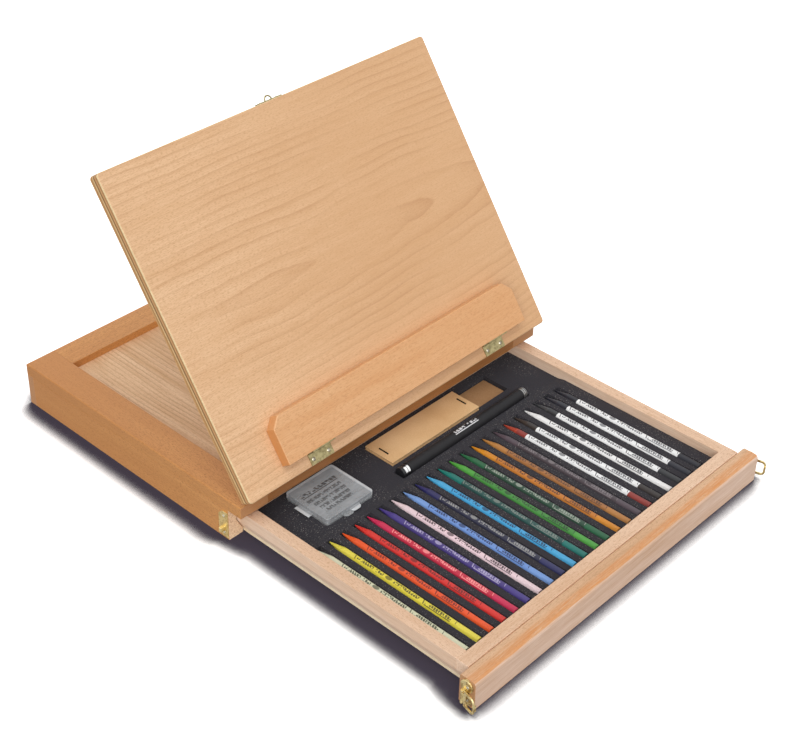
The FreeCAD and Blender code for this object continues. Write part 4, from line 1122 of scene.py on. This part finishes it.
def pencil_mesh(name, middle, axis_z, low, high):
    """Barrel and sharpened point; where the cone cuts the six flats, scallops appear."""
    apothem = BARREL_FLATS / 2
    corner = apothem / math.cos(math.pi / PENCIL_SIDES)
    count = PENCIL_SIDES * FLAT_STEPS
    slope = (corner - POINT_RADIUS) / POINT_LENGTH
    length = high - low
    cuts = [0.0, BUTT_ROUNDING, BUTT_HOLD, length - POINT_LENGTH - POINT_LEAD]
    cuts += [
        length - POINT_LENGTH * (1 - step / POINT_STATIONS)
        for step in range(POINT_STATIONS + 1)
    ]
    bm = bmesh.new()
    rings = []
    for cut in cuts:
        cone = POINT_RADIUS + slope * (length - cut)
        shrink = BUTT_SHRINK if cut == 0.0 else 1.0
        row = []
        for step in range(count):
            angle = 2 * math.pi * step / count
            radius = min(hexagon_radius(angle, apothem) * shrink, cone)
            row.append(bm.verts.new((
                middle + radius * math.cos(angle), low + cut, axis_z + radius * math.sin(angle)
            )))
        rings.append(row)
    for near, far in zip(rings, rings[1:]):
        for step in range(count):
            after = (step + 1) % count
            bm.faces.new((near[step], far[step], far[after], near[after]))
    bm.faces.new(rings[0])
    bm.faces.new(list(reversed(rings[-1])))
    return finish_mesh(bm, name, smooth_angle=25.0)


def make_pencils():
    pairs = [node for node in NODES if node.startswith("pencils_")]
    pairs.sort(key=lambda node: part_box(node)[0].x)
    for index, (name, barrel, point, ink) in enumerate(PENCILS):
        node = pairs[index // 2]
        low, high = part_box(node)
        axis_z = low.z + BARREL_FLATS / 2
        radius = (high.z - low.z) / math.sqrt(3)
        middle = low.x + radius if index % 2 == 0 else high.x - radius
        material = pencil_material(name, barrel, point, ink, low.y, high.y, middle)
        mesh = pencil_mesh("pencil_" + name, middle, axis_z, low.y, high.y)
        add_object("pencil_" + name, mesh, material, body_of(node), [node])


# ---- Contents of the foam -------------------

FOAM_SWELL = 2.0 * MM
FOAM_SLOPE = 12.0 * MM
SLOPE_LEAD = 1.0 * MM
SLOPE_STEPS = 8
FOAM_FACE = 0.8 * MM
CUT_DISTANCE = 0.0001 * MM


def swell_foam(bm):
    """The soft foam stands a little higher round the pencils that are pressed into it."""
    tip = max(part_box(node)[1].y for node in NODES if node.startswith("pencils_"))
    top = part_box("foam_insert")[1].z
    start = tip + SLOPE_LEAD
    for step in range(SLOPE_STEPS + 1):
        geometry = bm.verts[:] + bm.edges[:] + bm.faces[:]
        bmesh.ops.bisect_plane(
            bm, geom=geometry, plane_co=(0, start + FOAM_SLOPE * step / SLOPE_STEPS, 0),
            plane_no=(0, 1, 0), dist=CUT_DISTANCE,
        )
    for vertex in bm.verts:
        if vertex.co.z > top - FOAM_FACE:
            share = min(1.0, max(0.0, (vertex.co.y - start) / FOAM_SLOPE))
            vertex.co.z += FOAM_SWELL * (1 - share * share * (3 - 2 * share))


def make_contents():
    foam = softened("foam_insert", foam_material(), 0.5 * MM, shape=swell_foam)
    walls = clear_plastic("clear_plastic", (206, 209, 212), 0.46)
    lid = clear_plastic("clear_lid", (206, 210, 214), 0.44, printed=True)
    # Near-white and nearly opaque: a painted highlight for the eraser box's rounded edges
    highlight_rim = clear_plastic("rim_painted_highlight", (250, 252, 254), 0.86)
    sheets = kraft("sandpaper_pad", colour(232, 194, 146), colour(206, 162, 112), layered=True)
    card = kraft("backing_card", colour(182, 142, 102), colour(150, 112, 76))
    staple = metal("staple_black", colour(34, 32, 32), colour(20, 20, 20), 5, 0.4)
    # The piece, its material, how far its edges are rounded, and the rounding's own material, a painted highlight
    pieces = [
        ("eraser_box_base", walls, 0.35 * MM, highlight_rim),
        ("eraser_box_lid", lid, 0.45 * MM, highlight_rim),
        ("kneaded_eraser", eraser_material(), 0.5 * MM, None),
        ("sanding_pad_sheets", sheets, 0.1 * MM, None),
        ("sanding_pad_card", card, 0.25 * MM, None),
        ("pad_staples", staple, 0.15 * MM, None),
        ("pencil_holder_tube", satin_black("holder_black"), 0.1 * MM, None),
        ("pencil_holder_ends", holder_fittings(), 0.1 * MM, None),
    ]
    for node, material, rounding, highlight_material in pieces:
        softened(node, material, rounding, highlight_rim=highlight_material)


# ---- Stage ----------------------------------

FLOOR_SIZE = 12.0
FLOOR_BOUNCE = (0.5, 0.5, 0.5, 1.0)
FLOOR_GLOW = 0.5
# The floor's contact shadow: its reach, the direction that makes it denser on the left, and the
# openness at which it is fullest and gone
CONTACT_REACH = 32.0 * MM
CONTACT_LEAN = (0.38, -0.02, 0.925)
CONTACT_RANGE = (0.55, 0.90)
CONTACT_SHADE = colour(56, 52, 62)
WHITE = colour(255, 255, 255)
SKY_STRENGTH = 0.42
# Name, strength, apparent size in degrees, direction from the object towards the light
SUNS = [
    ("key_softbox", 1.50, 60.0, (-0.25, -0.30, 0.92)),
    ("side_fill", 1.08, 40.0, (-0.70, -0.60, 0.35)),
    ("back_fill", 0.35, 60.0, (0.35, 0.90, 0.25)),
]


def make_floor():
    bm = bmesh.new()
    bmesh.ops.create_grid(bm, x_segments=1, y_segments=1, size=FLOOR_SIZE / 2)
    mesh = bpy.data.meshes.new("floor")
    bm.to_mesh(mesh)
    bm.free()
    floor = bpy.data.objects.new("floor", mesh)
    bpy.context.scene.collection.objects.link(floor)
    g = Graph("pale_floor")
    openness = g.add(
        "AmbientOcclusion", {"Distance": CONTACT_REACH, "Normal": g.join(*CONTACT_LEAN)},
        output=1, samples=16,
    )
    seen = g.add("LightPath", {})
    shade = g.mix(g.steps(openness, *CONTACT_RANGE), CONTACT_SHADE, WHITE)
    g.set(Base_Color=g.mix(seen, FLOOR_BOUNCE, shade), Emission_Color=shade)
    g.set(Emission_Strength=g.math("MULTIPLY", seen, FLOOR_GLOW))
    g.set(Roughness=0.9, Specular_IOR_Level=0.0)
    mesh.materials.append(g.material)


def make_world():
    """A white surround, dimmer as a light than where it is seen, mirrored or shines through."""
    world = bpy.data.worlds.new("studio")
    bpy.context.scene.world = world
    tree = Tree(world)
    ray = tree.add("LightPath", {}).node.outputs
    seen = tree.math("MAXIMUM", ray["Is Glossy Ray"], ray["Is Transmission Ray"])
    seen = tree.math("MAXIMUM", ray["Is Camera Ray"], seen)
    strength = tree.add("MapRange", {"Value": seen, "To Min": SKY_STRENGTH, "To Max": 1.0})
    background = tree.nodes["Background"]
    tree.feed(background.inputs["Color"], WHITE)
    tree.feed(background.inputs["Strength"], strength)


def make_suns():
    for name, strength, size, direction in SUNS:
        light = bpy.data.lights.new(name, "SUN")
        light.energy = strength
        light.angle = math.radians(size)
        sun = bpy.data.objects.new(name, light)
        sun.rotation_euler = Vector(direction).to_track_quat("Z", "Y").to_euler()
        bpy.context.scene.collection.objects.link(sun)


def make_camera():
    data = bpy.data.cameras.new("camera")
    data.lens = CAMERA_LENS
    data.sensor_width = SENSOR_WIDTH
    camera = bpy.data.objects.new("camera", data)
    camera.location = CAMERA_PLACE
    heading = Matrix.Rotation(-math.radians(CAMERA_AZIMUTH), 3, "Z")
    tilt = Matrix.Rotation(math.radians(90 - CAMERA_DIP), 3, "X")
    roll = Matrix.Rotation(math.radians(CAMERA_ROLL), 3, "Z")
    camera.rotation_euler = (heading @ tilt @ roll).to_euler()
    bpy.context.scene.collection.objects.link(camera)
    bpy.context.scene.camera = camera


make_case()
make_board()
make_drawer()
make_metalwork()
make_pencils()
make_contents()
make_floor()
make_world()
make_suns()
make_camera()
bpy.context.scene.view_settings.view_transform = "Standard"
